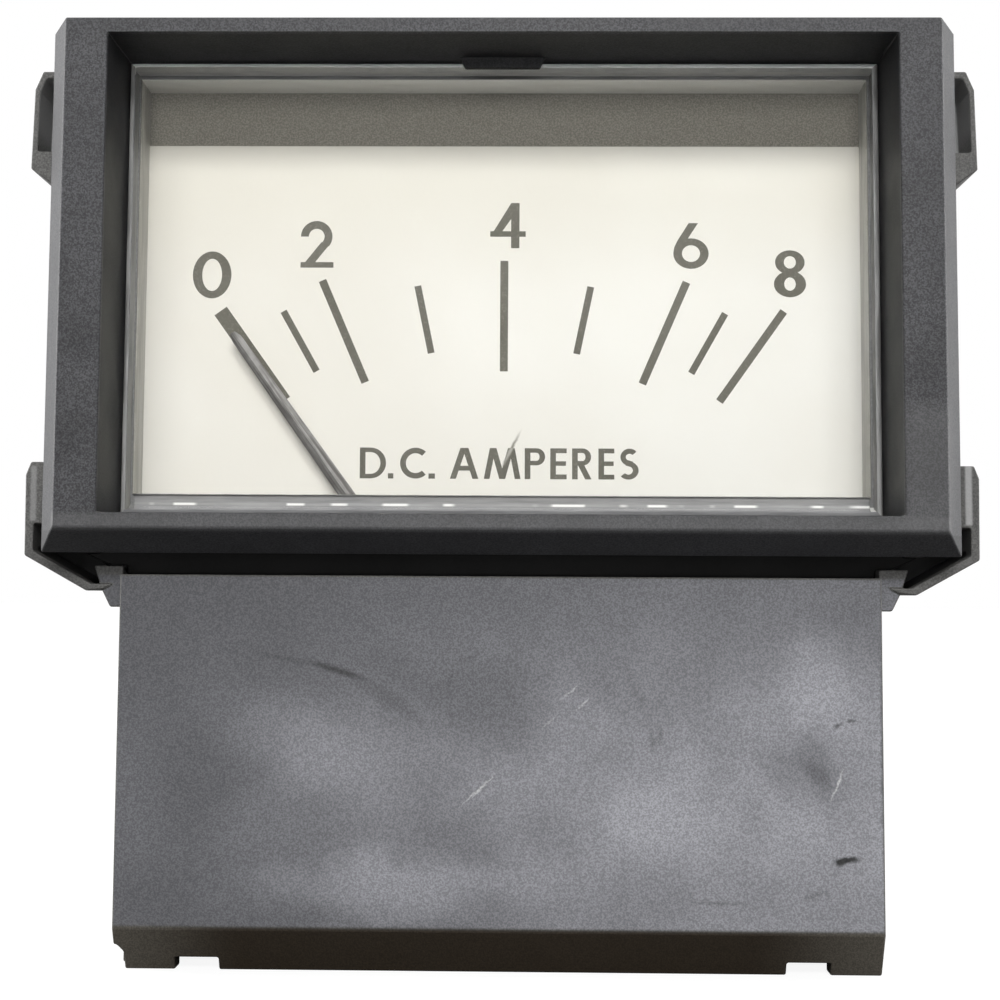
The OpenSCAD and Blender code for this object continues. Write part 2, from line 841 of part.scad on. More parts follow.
// Ring on a stud, with a cut through one side where it is a spring washer
module washer(r, y0, y1, split) {
    difference() {
        rod(stud_x, pivot_z, r, y0, y1);
        rod(stud_x, pivot_z, stud_r + slide_gap, y0 - cut, y1 + cut);
        if (split > 0)
            block([stud_x - split / 2, y0 - cut, pivot_z], [stud_x + split / 2, y1 + cut,
                pivot_z + r + cut]);
    }
}

module fixing_washers() {
    color("#b9bbbe")
        both_sides()
            washer(washer_r, cover_y, cover_y + washer_t, 0);
}

// Nut on a stud
module nut(y) {
    difference() {
        hexagon(stud_x, pivot_z, nut_af, y, y + nut_t);
        rod(stud_x, pivot_z, thread_core_r + thread_gap, y - cut, y + nut_t + cut);
    }
}

module fixing_nuts() {
    color("#c9ab62")
        both_sides()
            nut(nut_y);
}

module lock_washers() {
    color("#b9bbbe")
        both_sides()
            washer(0.9 * nut_af / 2, lock_y, lock_y + lock_t, 0.8);
}

module terminal_nuts() {
    color("#c9ab62")
        both_sides()
            nut(outer_nut_y);
}

bezel();
lens();
dial_plate();
dial_screws();
housing();
back_cover();
cover_screws();
movement_bracket();
bracket_screws();
front_bearing();
rear_bearing();
bearing_locknuts();
stop_pins();
magnet();
conductor_strap();
pivot_staff();
pointer();
pointer_hub();
balance_weight();
iron_vane();
vane_collar();
terminal_studs();
fixing_washers();
fixing_nuts();
lock_washers();
terminal_nuts();
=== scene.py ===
from math import atan2, cos, hypot, pi, radians, sin, sqrt, tan

import bmesh
import bpy
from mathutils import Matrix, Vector
from mathutils.geometry import delaunay_2d_cdt


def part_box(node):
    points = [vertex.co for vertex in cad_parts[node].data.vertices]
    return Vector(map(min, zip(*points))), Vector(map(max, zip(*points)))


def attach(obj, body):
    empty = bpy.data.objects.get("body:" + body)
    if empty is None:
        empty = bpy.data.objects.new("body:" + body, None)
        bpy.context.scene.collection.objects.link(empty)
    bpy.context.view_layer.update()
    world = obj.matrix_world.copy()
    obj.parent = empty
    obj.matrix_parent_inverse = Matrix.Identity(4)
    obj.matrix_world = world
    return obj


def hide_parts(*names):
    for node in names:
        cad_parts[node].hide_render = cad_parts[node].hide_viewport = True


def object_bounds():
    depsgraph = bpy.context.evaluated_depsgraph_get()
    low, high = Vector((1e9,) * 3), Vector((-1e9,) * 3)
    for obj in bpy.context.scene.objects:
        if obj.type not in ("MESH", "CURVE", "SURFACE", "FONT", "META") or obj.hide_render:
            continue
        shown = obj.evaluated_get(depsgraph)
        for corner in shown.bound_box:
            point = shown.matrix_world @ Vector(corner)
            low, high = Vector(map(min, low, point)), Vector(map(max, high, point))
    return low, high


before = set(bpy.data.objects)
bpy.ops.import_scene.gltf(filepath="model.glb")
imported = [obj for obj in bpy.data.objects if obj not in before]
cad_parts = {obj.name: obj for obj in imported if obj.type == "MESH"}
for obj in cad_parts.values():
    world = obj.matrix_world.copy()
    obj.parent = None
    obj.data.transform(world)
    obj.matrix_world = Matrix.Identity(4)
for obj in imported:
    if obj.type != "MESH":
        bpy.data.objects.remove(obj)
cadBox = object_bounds()
scene = bpy.context.scene
mm = 0.001
print("frame loaded with", len(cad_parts), "nodes")


def addObject(name, form):
    mesh = bpy.data.meshes.new(name)
    form.to_mesh(mesh)
    form.free()
    piece = bpy.data.objects.new(name, mesh)
    scene.collection.objects.link(piece)
    return piece


def place(piece, body, material, nodes=()):
    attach(piece, body)
    if nodes:
        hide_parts(*nodes)
    piece.data.materials.clear()
    piece.data.materials.append(material)
    return piece


def shadeByAngle(mesh, angle):
    mesh.shade_smooth()
    mesh.set_sharp_from_angle(angle=radians(angle))


def roundEdges(piece, width, segments=2, angle=30):
    edge = piece.modifiers.new("roundedEdges", "BEVEL")
    edge.width = width * mm
    edge.segments = segments
    edge.limit_method = "ANGLE"
    edge.angle_limit = radians(angle)
    edge.use_clamp_overlap = False
    edge.harden_normals = True
    edge.miter_outer = "MITER_ARC"
    flat = piece.modifiers.new("flatFaces", "WEIGHTED_NORMAL")
    flat.weight = 100
    flat.keep_sharp = True


meshLook = {"weld": 0.0005, "flat": 0.4}  # millimetres, degrees


# A copy of a node, with the tessellation's flat triangles joined and its sharp edges rounded
def softCopy(node, name, width, segments=2, angle=30):
    form = bmesh.new()
    form.from_mesh(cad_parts[node].data)
    bmesh.ops.remove_doubles(form, verts=form.verts, dist=meshLook["weld"] * mm)
    bmesh.ops.dissolve_limit(form, angle_limit=radians(meshLook["flat"]), verts=form.verts, edges=form.edges)
    piece = addObject(name, form)
    shadeByAngle(piece.data, angle)
    if width:
        roundEdges(piece, width, segments, angle)
    return piece


def put(tree, kind, look=None, feed=None):
    node = tree.nodes.new(kind)
    for key, value in (look or {}).items():
        setattr(node, key, value)
    for key, value in (feed or {}).items():
        if isinstance(value, bpy.types.NodeSocket):
            tree.links.new(value, node.inputs[key])
        else:
            node.inputs[key].default_value = value
    return node


def calc(tree, operation, *terms, clamp=False):
    look = {"operation": operation, "use_clamp": clamp}
    return put(tree, "ShaderNodeMath", look, dict(enumerate(terms))).outputs[0]


def vectorCalc(tree, operation, *terms):
    node = put(tree, "ShaderNodeVectorMath", {"operation": operation}, dict(enumerate(terms)))
    return node.outputs["Value" if operation in ("DOT_PRODUCT", "LENGTH") else "Vector"]


def spread(tree, value, low, high, toLow=0.0, toHigh=1.0):
    node = put(tree, "ShaderNodeMapRange", {"interpolation_type": "SMOOTHSTEP"},
               {0: value, 1: low, 2: high, 3: toLow, 4: toHigh})
    return node.outputs[0]


def mixColour(tree, share, low, high, blend="MIX"):
    node = put(tree, "ShaderNodeMix", {"data_type": "RGBA", "blend_type": blend},
               {0: share, 6: low, 7: high})
    return node.outputs[2]


def noise(tree, where, size, detail=2.0, rough=0.5):
    feed = {"Vector": where, "Scale": size, "Detail": detail, "Roughness": rough}
    return put(tree, "ShaderNodeTexNoise", None, feed).outputs["Fac"]


def objectSpace(tree):
    return put(tree, "ShaderNodeTexCoord").outputs["Object"]


def objectAxes(tree):
    return put(tree, "ShaderNodeSeparateXYZ", None, {0: objectSpace(tree)}).outputs


# The same place with its depth dropped, for marks on a face that looks forward
def flattened(tree, where):
    return vectorCalc(tree, "MULTIPLY", where, (1.0, 0.0, 1.0))


# A smooth change along an axis: from and to in millimetres, then the values at both if not 0 and 1
def ramp(tree, value, plan):
    start, end, *values = plan
    return spread(tree, value, start * mm, end * mm, *values)


def newGroup(name, inputs, outputs):
    group = bpy.data.node_groups.new(name, "ShaderNodeTree")
    for label, kind, value in inputs:
        socket = group.interface.new_socket(name=label, in_out="INPUT", socket_type=kind)
        socket.default_value = value
    for label in outputs:
        group.interface.new_socket(name=label, in_out="OUTPUT", socket_type="NodeSocketFloat")
    return group, group.nodes.new("NodeGroupInput").outputs, group.nodes.new("NodeGroupOutput").inputs


def useGroup(tree, group, **values):
    return put(tree, "ShaderNodeGroup", {"node_tree": group}, values).outputs


# Fine moulded or cast grain with slow changes of tone; Grain and Patch are sizes in metres
def makeGrain():
    group, given, result = newGroup("surfaceGrain", [
        ("Grain", "NodeSocketFloat", 0.2 * mm), ("Patch", "NodeSocketFloat", 6 * mm),
    ], ["Height", "Tone"])
    where = objectSpace(group)
    fine = noise(group, where, calc(group, "DIVIDE", 1.0, given["Grain"]), 2.0, 0.6)
    slow = noise(group, where, calc(group, "DIVIDE", 1.0, given["Patch"]), 3.0, 0.55)
    group.links.new(fine, result["Height"])
    group.links.new(slow, result["Tone"])
    return group


# Rubbed edges, broken up by noise; Width in metres
def makeEdgeWear():
    group, given, result = newGroup("edgeWear", [
        ("Width", "NodeSocketFloat", 0.2 * mm), ("Breaks", "NodeSocketFloat", 1.5 * mm),
        ("Amount", "NodeSocketFloat", 0.5),
    ], ["Mask"])
    rounded = put(group, "ShaderNodeBevel", {"samples": 2}, {"Radius": given["Width"]})
    face = put(group, "ShaderNodeNewGeometry").outputs["Normal"]
    lean = calc(group, "SUBTRACT", 1.0, vectorCalc(group, "DOT_PRODUCT", rounded.outputs[0], face))
    edge = spread(group, lean, 0.02, 0.25)
    patchy = noise(group, objectSpace(group), calc(group, "DIVIDE", 1.0, given["Breaks"]), 1.0)
    broken = spread(group, patchy, 0.38, 0.62, 0.25, 1.0)
    worn = calc(group, "MULTIPLY", calc(group, "MULTIPLY", edge, broken), given["Amount"])
    group.links.new(worn, result["Mask"])
    return group


# Settled dust on what faces up, with specks; Speck is a size in metres
def makeDust():
    group, given, result = newGroup("dustFilm", [
        ("Speck", "NodeSocketFloat", 0.6 * mm), ("Amount", "NodeSocketFloat", 0.3),
    ], ["Mask"])
    face = put(group, "ShaderNodeNewGeometry").outputs["Normal"]
    upward = spread(group, vectorCalc(group, "DOT_PRODUCT", face, (0.0, 0.0, 1.0)), 0.2, 0.95, 0.15)
    specks = noise(group, objectSpace(group), calc(group, "DIVIDE", 1.0, given["Speck"]), 2.0, 0.65)
    film = calc(group, "MULTIPLY", upward, spread(group, specks, 0.42, 0.7))
    group.links.new(calc(group, "MULTIPLY", film, given["Amount"]), result["Mask"])
    return group


# A soft-edged oval on a face that looks forward; Turn is an angle about y, Size holds its half axes
def makeMark():
    group, given, result = newGroup("ovalMark", [
        ("Where", "NodeSocketVector", (0, 0, 0)), ("Middle", "NodeSocketVector", (0, 0, 0)),
        ("Turn", "NodeSocketVector", (0, 0, 0)), ("Size", "NodeSocketVector", (mm, 1, mm)),
        ("Amount", "NodeSocketFloat", 1.0),
    ], ["Mask"])
    placed = put(group, "ShaderNodeMapping", {"vector_type": "TEXTURE"}, {
        "Vector": given["Where"], "Location": given["Middle"], "Rotation": given["Turn"], "Scale": given["Size"]})
    reach = vectorCalc(group, "LENGTH", placed.outputs[0])
    oval = spread(group, reach, 0.15, 1.0, 1.0, 0.0)
    group.links.new(calc(group, "MULTIPLY", oval, given["Amount"]), result["Mask"])
    return group


grainGroup = makeGrain()
wearGroup = makeEdgeWear()
dustGroup = makeDust()
markGroup = makeMark()
print("surface effects made")


def newFinish(name):
    material = bpy.data.materials.new(name)
    material.use_nodes = True
    tree = material.node_tree
    return material, tree, tree.nodes["Principled BSDF"]


def shade(value, tint=(1.0, 1.0, 1.0)):
    return (value * tint[0], value * tint[1], value * tint[2], 1.0)


# Place on the flat front, pushed about by noise so that a mark's edges are ragged; both sizes in metres
def raggedPlace(tree, size, push):
    where = objectSpace(tree)
    wobble = put(tree, "ShaderNodeTexNoise", None, {"Vector": where, "Scale": 1 / size, "Detail": 1.0})
    shift = vectorCalc(tree, "SUBTRACT", wobble.outputs["Color"], (0.5, 0.5, 0.5))
    moved = vectorCalc(tree, "MULTIPLY", shift, (push, push, push))
    return flattened(tree, vectorCalc(tree, "ADD", where, moved))


def addMarks(tree, where, marks):
    total = None
    for x0, z0, x1, z1, width, amount in marks:
        long, turn = hypot(x1 - x0, z1 - z0) / 2 + width, -atan2(z1 - z0, x1 - x0)
        mask = useGroup(tree, markGroup, Where=where, Middle=((x0 + x1) / 2 * mm, 0, (z0 + z1) / 2 * mm),
                        Turn=(0, turn, 0), Size=(long * mm, 1, width * mm), Amount=amount)["Mask"]
        total = mask if total is None else calc(tree, "ADD", total, mask)
    return calc(tree, "MINIMUM", total, 1.0)


def addBump(tree, shader, height, depth, strength=1.0):
    bump = put(tree, "ShaderNodeBump", None, {"Strength": strength, "Distance": depth * mm, "Height": height})
    tree.links.new(bump.outputs["Normal"], shader.inputs["Normal"])


# Mask of the space between two corners, fading out over a soft margin, all in millimetres
def within(tree, where, low, high, soft=0.1):
    mask = None
    for i in range(3):
        inside = calc(tree, "MULTIPLY", spread(tree, where[i], (low[i] - soft) * mm, low[i] * mm),
                      spread(tree, where[i], (high[i] + soft) * mm, high[i] * mm))
        mask = inside if mask is None else calc(tree, "MULTIPLY", mask, inside)
    return mask


dustTone = shade(0.3, (1.0, 0.97, 0.9))


# Moulded plastic; marks are (x0, z0, x1, z1, half width, amount) in millimetres
def mouldedPlastic(name, look):
    material, tree, shader = newFinish(name)
    shader.inputs["Specular IOR Level"].default_value = look["specular"]
    grain = useGroup(tree, grainGroup, Grain=look["grain"] * mm, Patch=look["patch"] * mm)
    where = objectAxes(tree)
    tone = spread(tree, grain["Tone"], 0.3, 0.7)
    colour = mixColour(tree, tone, shade(look["dark"], look["tint"]), shade(look["light"], look["tint"]))
    # Painted light: the wall seen through the window is made pale to stand in for light that does not reach it
    if "paintedLightWall" in look:
        windowWallLight = within(tree, where, *look["windowSpace"])
        colour = mixColour(tree, windowWallLight, colour, (*look["paintedLightWall"], 1.0))
    if "film" in look:
        # Painted shade and reflection on the lip: dark in the middle where it faces down, lighter towards its ends
        # as a painted reflection
        lip = ramp(tree, where[2], look["lipFade"])
        ends = ramp(tree, calc(tree, "ABSOLUTE", where[0]), look["lipReach"])
        lipShadeAndSheen = mixColour(tree, ends, (*look["lipShadeMiddle"], 1), (*look["lipSheenEnds"], 1))
        colour = faceBloomAndSheen(tree, mixColour(tree, lip, colour, lipShadeAndSheen), where, grain, look)
    fleck = spread(tree, grain["Height"], 0.34, 0.68, 1 - look["speckle"], 1 + look["speckle"])
    colour = mixColour(tree, 1.0, colour, fleck, "MULTIPLY")
    if look["wear"]:
        worn = useGroup(tree, wearGroup, Width=look["wearWidth"] * mm, Amount=look["wear"])["Mask"]
        colour = mixColour(tree, worn, colour, shade(look["wornTone"], look["tint"]))
    if look["dust"]:
        dust = useGroup(tree, dustGroup, Amount=look["dust"])["Mask"]
        colour = mixColour(tree, dust, colour, dustTone)
    # Painted light and shade: each zone mixes the colour towards a darker or lighter tone, mostly painted shade in
    # hollows and painted light on lit strips
    for low, high, soft, tone, share in look["paintedLightZones"]:
        inside = within(tree, where, low, high, soft)
        colour = mixColour(tree, calc(tree, "MULTIPLY", inside, share), colour, shade(tone))
    tree.links.new(colour, shader.inputs["Base Color"])
    tree.links.new(spread(tree, grain["Tone"], 0.3, 0.7, look["rough"] - 0.05, look["rough"] + 0.05),
                   shader.inputs["Roughness"])
    height = calc(tree, "MULTIPLY", grain["Height"], look["grainDepth"])
    if "dents" in look:
        dented = addMarks(tree, flattened(tree, objectSpace(tree)), look["dents"])
        height = calc(tree, "SUBTRACT", height, dented)
    addBump(tree, shader, height, look["bump"])
    return material


# Grey bloom on the flat front face, uneven and marked, partly painted sheen: lighter towards the bottom and in
# broad patches
def faceBloomAndSheen(tree, colour, where, grain, look):
    facing = put(tree, "ShaderNodeNewGeometry").outputs["Normal"]
    forward = spread(tree, vectorCalc(tree, "DOT_PRODUCT", facing, (0.0, -1.0, 0.0)), 0.93, 0.99)
    lower = ramp(tree, where[2], look["filmTop"])
    front = calc(tree, "MULTIPLY", forward, lower)
    fine, broad = raggedPlace(tree, 0.5 * mm, 0.35 * mm), raggedPlace(tree, 3.0 * mm, 3.0 * mm)
    across = ramp(tree, where[0], look["filmAcross"])
    # the film grows lighter towards the bottom: painted sheen
    down, foot = ramp(tree, where[2], look["filmDown"]), ramp(tree, where[2], look["filmFoot"])
    cloud = spread(tree, grain["Tone"], 0.3, 0.68, 0.8, 1.12)
    amount = calc(tree, "MULTIPLY", calc(tree, "MULTIPLY", across, down), calc(tree, "MULTIPLY", foot, cloud))
    # broad lighter patches: painted sheen
    amount = calc(tree, "ADD", amount, addMarks(tree, broad, look["sheenPatches"]))
    amount = calc(tree, "MULTIPLY", amount, calc(tree, "SUBTRACT", 1.0, addMarks(tree, broad, look["blots"])))
    film = mixColour(tree, calc(tree, "MINIMUM", amount, 1.0), shade(look["film"][0], look["filmTint"]),
                     shade(look["film"][1], look["filmTint"]))
    crisp = flattened(tree, objectSpace(tree))
    # the crease marks paint shade along the dented crease
    for spot, kind, tone in ((crisp, "creaseShade", 0.035), (fine, "pale", 0.5), (fine, "dim", 0.03)):
        film = mixColour(tree, addMarks(tree, spot, look[kind]), film, shade(tone))
    kept = calc(tree, "MULTIPLY", front, ramp(tree, where[2], look["filmEnd"]))
    return mixColour(tree, kept, colour, film)


bezelLook = {
    "grain": 0.12, "patch": 4.0, "dark": 0.041, "light": 0.058, "speckle": 0.44, "tint": (0.975, 0.975, 1.04),
    "specular": 0.25, "wear": 0.3, "wearWidth": 0.16, "wornTone": 0.16, "dust": 0.12, "rough": 0.5,
    "bump": 0.015, "grainDepth": 1.0,
    "paintedLightZones": [  # painted light and shade, low corner, high corner, soft margin, tone, share
        # painted shade in the window's recess
        ((-26.9, -2.4, -16.5), (26.9, 7.2, 16.5), 0.1, 0.002, 0.54),
        # painted shade on the lower chamfer and under the bezel
        ((-34.0, -2.7, -20.5), (34.0, 1.5, -17.5), 0.1, 0.002, 0.45),
        # painted light: the bottom rail of the front made lighter
        ((-31.5, -2.9, -17.3), (31.5, -2.7, -16.6), 0.5, 0.13, 0.35),
        # lighter towards the lower right of the front
        ((27.5, -2.9, -16.0), (30.5, -2.7, -10.0), 2.0, 0.13, 0.25),
    ],
}
caseLook = {
    "grain": 0.12, "patch": 6.0, "dark": 0.075, "light": 0.1, "speckle": 0.3, "tint": (1.0, 0.985, 0.95),
    "specular": 0.25, "wear": 0.2, "wearWidth": 0.16, "wornTone": 0.16, "dust": 0.12, "rough": 0.55,
    "bump": 0.015, "grainDepth": 1.0,
    "paintedLightZones": [
        # painted shade: the slot under the bezel made almost black
        ((-33.0, 3.2, -21.2), (33.0, 8.0, -18.4), 0.1, 0.002, 0.97),
        # painted highlight: a light strip on the right arm
        ((32.15, 1.8, -16.5), (32.4, 2.4, -12.6), 0.2, 0.5, 0.45),
        # painted highlight: a light strip on the left arm
        ((-32.55, 1.8, -16.5), (-32.35, 2.4, -12.9), 0.2, 0.4, 0.3),
        # painted light on the fronts of the upper lugs
        ((-32.8, 2.1, 9.3), (32.8, 4.9, 15.0), 0.05, 0.4, 0.5),
    ],
}
# The two broad flat faces have neither worn edges nor settled dust, and keep only the painted shade of the slot
flatLook = {**caseLook, "speckle": 0.24, "wear": 0, "dust": 0, "paintedLightZones": caseLook["paintedLightZones"][:1]}
wallLook = {
    # painted light: pale colour for the wall behind the window
    **flatLook, "paintedLightWall": (0.32, 0.3, 0.262),
    "windowSpace": ((-27.0, 6.6, -16.6), (27.0, 12.0, 17.0)),  # two corners
}
frontLook = {
    **flatLook,
    # painted shade in the lip's middle and painted reflection at its ends
    "lipShadeMiddle": (0.02, 0.015, 0.01), "lipSheenEnds": (0.062, 0.056, 0.046),
    "lipFade": (-43.9, -44.25), "lipReach": (17, 26),
    "film": (0.07, 0.285), "filmTint": (0.97, 0.975, 1.05), "filmTop": (-20.2, -20.5),
    # the film's growth towards the bottom is painted sheen
    "filmAcross": (-27, 18, 0.2, 0.85), "filmDown": (-20, -34, 0.32, 1.0),
    "filmFoot": (-38, -43, 1.0, 0.72), "filmEnd": (-44.12, -43.88),
    "pale": [(-2.91, -36.13, 0.12, -33.42, 0.11, 0.6), (-1.9, -35.45, -0.69, -34.2, 0.11, 0.5),
             (23.46, -32.91, 22.42, -35.59, 0.11, 0.65), (4.2, -28.7, 5.7, -27.4, 0.1, 0.45),
             (5.1, -29.5, 6.4, -28.4, 0.1, 0.4), (2.8, -30.8, 4.1, -29.6, 0.08, 0.25)],
    "dim": [(22.85, -39.3, 24.5, -39.2, 0.3, 1.0), (22.9, -39.45, 23.4, -39.4, 0.4, 1.0),
            (22.8, -30.35, 23.15, -30.15, 0.22, 0.7), (23.7, -30.0, 24.15, -29.95, 0.22, 0.7),
            (10.4, -30.6, 10.5, -32.3, 0.3, 0.35), (11.0, -30.5, 10.9, -31.6, 0.3, 0.3),
            (12.3, -42.1, 17.6, -42.3, 0.25, 0.3), (20.4, -41.9, 22.4, -41.3, 0.25, 0.3),
            (26.05, -20.5, 26.05, -44.2, 0.25, 0.6), (-3.6, -28.6, -3.1, -26.4, 0.16, 0.28),
            (-3.1, -26.3, -1.2, -25.5, 0.16, 0.25), (-3.6, -28.9, -2.9, -30.6, 0.16, 0.22),
            (8.2, -26.0, 10.2, -29.5, 0.7, 0.16)],
    # painted shade along the dented crease
    "creaseShade": [(-17.8, -25.4, -11.6, -26.6, 0.3, 0.3), (-13.6, -26.0, -8.6, -27.5, 0.36, 0.75),
               (-10.4, -27.0, -4.7, -30.4, 0.8, 0.28)],
    # broad lighter patches of painted sheen
    "sheenPatches": [(-16.5, -30.4, -8.5, -33.4, 4.6, 0.26), (6.0, -37.0, 14.0, -37.5, 4.0, 0.14),
              (21.0, -26.0, 22.5, -30.0, 3.6, 0.28), (-18.0, -41.4, 4.0, -41.2, 3.0, 0.36)],
    "blots": [(-21.5, -31.0, -20.2, -37.8, 4.2, 0.38), (19.6, -32.9, 21.2, -34.2, 3.4, 0.42),
              (20.8, -33.6, 22.0, -34.1, 1.0, 0.3), (-2.6, -28.2, 1.8, -30.2, 4.8, 0.4),
              (-9.0, -26.0, -4.6, -28.0, 2.2, 0.3), (5.2, -26.2, 10.4, -29.8, 2.0, 0.2),
              (-7.0, -37.5, 1.0, -38.0, 3.0, 0.2)],
    "dents": [(-15.66, -26.1, -7.4, -28.76, 1.4, 1.0), (20.4, -33.9, 20.6, -34.2, 3.2, 1.0)],
}
coverLook = {
    "grain": 0.14, "patch": 6.0, "dark": 0.045, "light": 0.065, "speckle": 0.4, "tint": (1.0, 1.0, 1.0),
    "specular": 0.35, "wear": 0.35, "wearWidth": 0.2, "wornTone": 0.14, "dust": 0.2, "rough": 0.5,
    "bump": 0.02, "grainDepth": 1.0, "paintedLightZones": [],
}
bezelPlastic = mouldedPlastic("bezelPlastic", bezelLook)
casePlastic = mouldedPlastic("casePlastic", caseLook)
wallPlastic = mouldedPlastic("wallPlastic", wallLook)
frontPlastic = mouldedPlastic("frontPlastic", frontLook)
coverPlastic = mouldedPlastic("coverPlastic", coverLook)


# Lets light through to the dial without the noise of bent light paths
def passLight(tree, shader, tone):
    path = put(tree, "ShaderNodeLightPath").outputs
    through = put(tree, "ShaderNodeBsdfTransparent")
    through.inputs["Color"].default_value = shade(tone, (1.0, 1.0, 0.99))
    light = calc(tree, "MAXIMUM", path["Is Shadow Ray"], path["Is Diffuse Ray"])
    mix = put(tree, "ShaderNodeMixShader", None, {0: light, 1: shader.outputs[0], 2: through.outputs[0]})
    tree.links.new(mix.outputs[0], tree.nodes["Material Output"].inputs["Surface"])


lensLook = {
    "ior": 1.49, "low": (0.98, 0.98, 0.965), "high": (0.995, 0.995, 0.985), "smear": 120.0,
    "wear": 0.35, "wearWidth": 0.3, "rough": 0.012, "passed": 0.95,
}


# Clear moulded window, faintly rubbed at its edges
def clearLens(name, look):
    material, tree, shader = newFinish(name)
    shader.inputs["Transmission Weight"].default_value = 1.0
    shader.inputs["IOR"].default_value = look["ior"]
    smear = noise(tree, objectSpace(tree), look["smear"], 3.0)
    tree.links.new(mixColour(tree, smear, (*look["low"], 1), (*look["high"], 1)), shader.inputs["Base Color"])
    wear = useGroup(tree, wearGroup, Width=look["wearWidth"] * mm, Amount=look["wear"])["Mask"]
    tree.links.new(calc(tree, "ADD", wear, look["rough"]), shader.inputs["Roughness"])
    passLight(tree, shader, look["passed"])
    return material


# Dull, streaked walls round the window, with painted glints: pale colour where the moulding would catch the light
def frostedEdge(name, look):
    material, tree, shader = newFinish(name)
    shader.inputs["Transmission Weight"].default_value = look["through"]
    shader.inputs["IOR"].default_value = lensLook["ior"]
    along = vectorCalc(tree, "MULTIPLY", objectSpace(tree), look["lines"])
    streak = noise(tree, along, 1.0, 4.0, 0.6)
    colour = mixColour(tree, spread(tree, streak, 0.36, 0.64), (*look["low"], 1), (*look["high"], 1))
    paintedGlint = spread(tree, noise(tree, along, 0.45, 2.0), 0.52, 0.6, 0.0, look["paintedGlint"])
    if "rim" in look:  # the painted glints lie in dashes along a rounded rim at this height
        away = calc(tree, "ABSOLUTE", calc(tree, "SUBTRACT", objectAxes(tree)[2], look["rim"] * mm))
        band = ramp(tree, away, look["rimFade"])
        run = vectorCalc(tree, "MULTIPLY", objectSpace(tree), look["dashes"])
        dashes = spread(tree, noise(tree, run, 1.0, 1.0), 0.5, 0.56, 0.08, 1.0)
        paintedGlint = calc(tree, "MULTIPLY", band, dashes)
    # painted glints: the colour goes almost white
    colour = mixColour(tree, paintedGlint, colour, (0.95, 0.95, 0.94, 1))
    tree.links.new(colour, shader.inputs["Base Color"])
    tree.links.new(spread(tree, streak, 0.36, 0.64, look["rough"], look["rough"] + 0.2), shader.inputs["Roughness"])
    addBump(tree, shader, streak, 0.03)
    passLight(tree, shader, 0.8)
    return material


frostLooks = {
    "sidesOutside": {"through": 0.25, "low": (0.27, 0.27, 0.265), "high": (0.5, 0.5, 0.49), "paintedGlint": 0.2,
                     "rough": 0.35, "lines": (1500, 1500, 200)},
    "sidesInside": {"through": 0.3, "low": (0.42, 0.41, 0.38), "high": (0.66, 0.65, 0.61), "paintedGlint": 0.2,
                    "rough": 0.3, "lines": (1500, 1500, 200)},
    # topRim and topInside are near-white, partly the frosted plastic's own colour and partly painted light standing
    # in for light carried through the frosted walls
    "topRim": {"through": 0.0, "low": (0.78, 0.78, 0.79), "high": (0.96, 0.96, 0.97), "paintedGlint": 0.9,
               "rough": 0.3, "lines": (500, 1500, 3600)},
    "footRim": {"through": 0.1, "low": (0.24, 0.24, 0.245), "high": (0.31, 0.31, 0.315), "paintedGlint": 0.9,
                "rough": 0.4, "lines": (260, 1500, 3600), "rim": -15.3,
                "rimFade": (0.04, 0.13, 1.0, 0.0), "dashes": (330, 0, 0)},
    # near-white, partly painted light for the underside of the top wall
    "topInside": {"through": 0.0, "low": (0.93, 0.93, 0.9), "high": (0.97, 0.97, 0.95), "paintedGlint": 0.0,
                  "rough": 0.3, "lines": (220, 1500, 2600)},
}


# The dial's colour carries painted shade: darker towards the left and the top, lighter towards the right, following
# how the light falls
dialLook = {
    "grain": 0.3, "patch": 14, "left": (0.86, 0.838, 0.785), "right": (0.9, 0.89, 0.855),
    "top": (0.74, 0.71, 0.625), "aged": (0.78, 0.74, 0.66), "specks": (0.55, 0.5, 0.42),
    "across": (-24, 16), "up": (-1, 9, 0.0, 0.55),
    "scratch": [(1.5, -9.5, -0.1, -12.6, 0.19, 1.0)], "scratched": (0.22, 0.21, 0.18),
}
inkLook = {
    "grain": 0.12, "patch": 3, "full": (0.095, 0.09, 0.07), "thin": (0.22, 0.21, 0.175),
    "scratched": (0.4, 0.39, 0.35),
}


# A fine scratch that crosses the lettering
def dialScratch(tree):
    return addMarks(tree, raggedPlace(tree, 0.5 * mm, 0.15 * mm), dialLook["scratch"])


def dialPaint(name, look):
    material, tree, shader = newFinish(name)
    grain = useGroup(tree, grainGroup, Grain=look["grain"] * mm, Patch=look["patch"] * mm)
    where = objectAxes(tree)
    layers = [  # share, colour laid over what is there
        # painted shade and light: lighter towards the right, darker and yellower towards the top
        (ramp(tree, where[0], look["across"]), "right"),
        (ramp(tree, where[2], look["up"]), "top"),
        (spread(tree, grain["Tone"], 0.3, 0.7, 0.0, 0.25), "aged"),
        (spread(tree, grain["Height"], 0.62, 0.75, 0.0, 0.12), "specks"),
        (dialScratch(tree), "scratched"),
    ]
    colour = (*look["left"], 1)
    for share, paint in layers:
        colour = mixColour(tree, share, colour, (*look[paint], 1))
    tree.links.new(colour, shader.inputs["Base Color"])
    tree.links.new(spread(tree, grain["Tone"], 0.3, 0.7, 0.5, 0.62), shader.inputs["Roughness"])
    addBump(tree, shader, grain["Height"], 0.006)
    return material


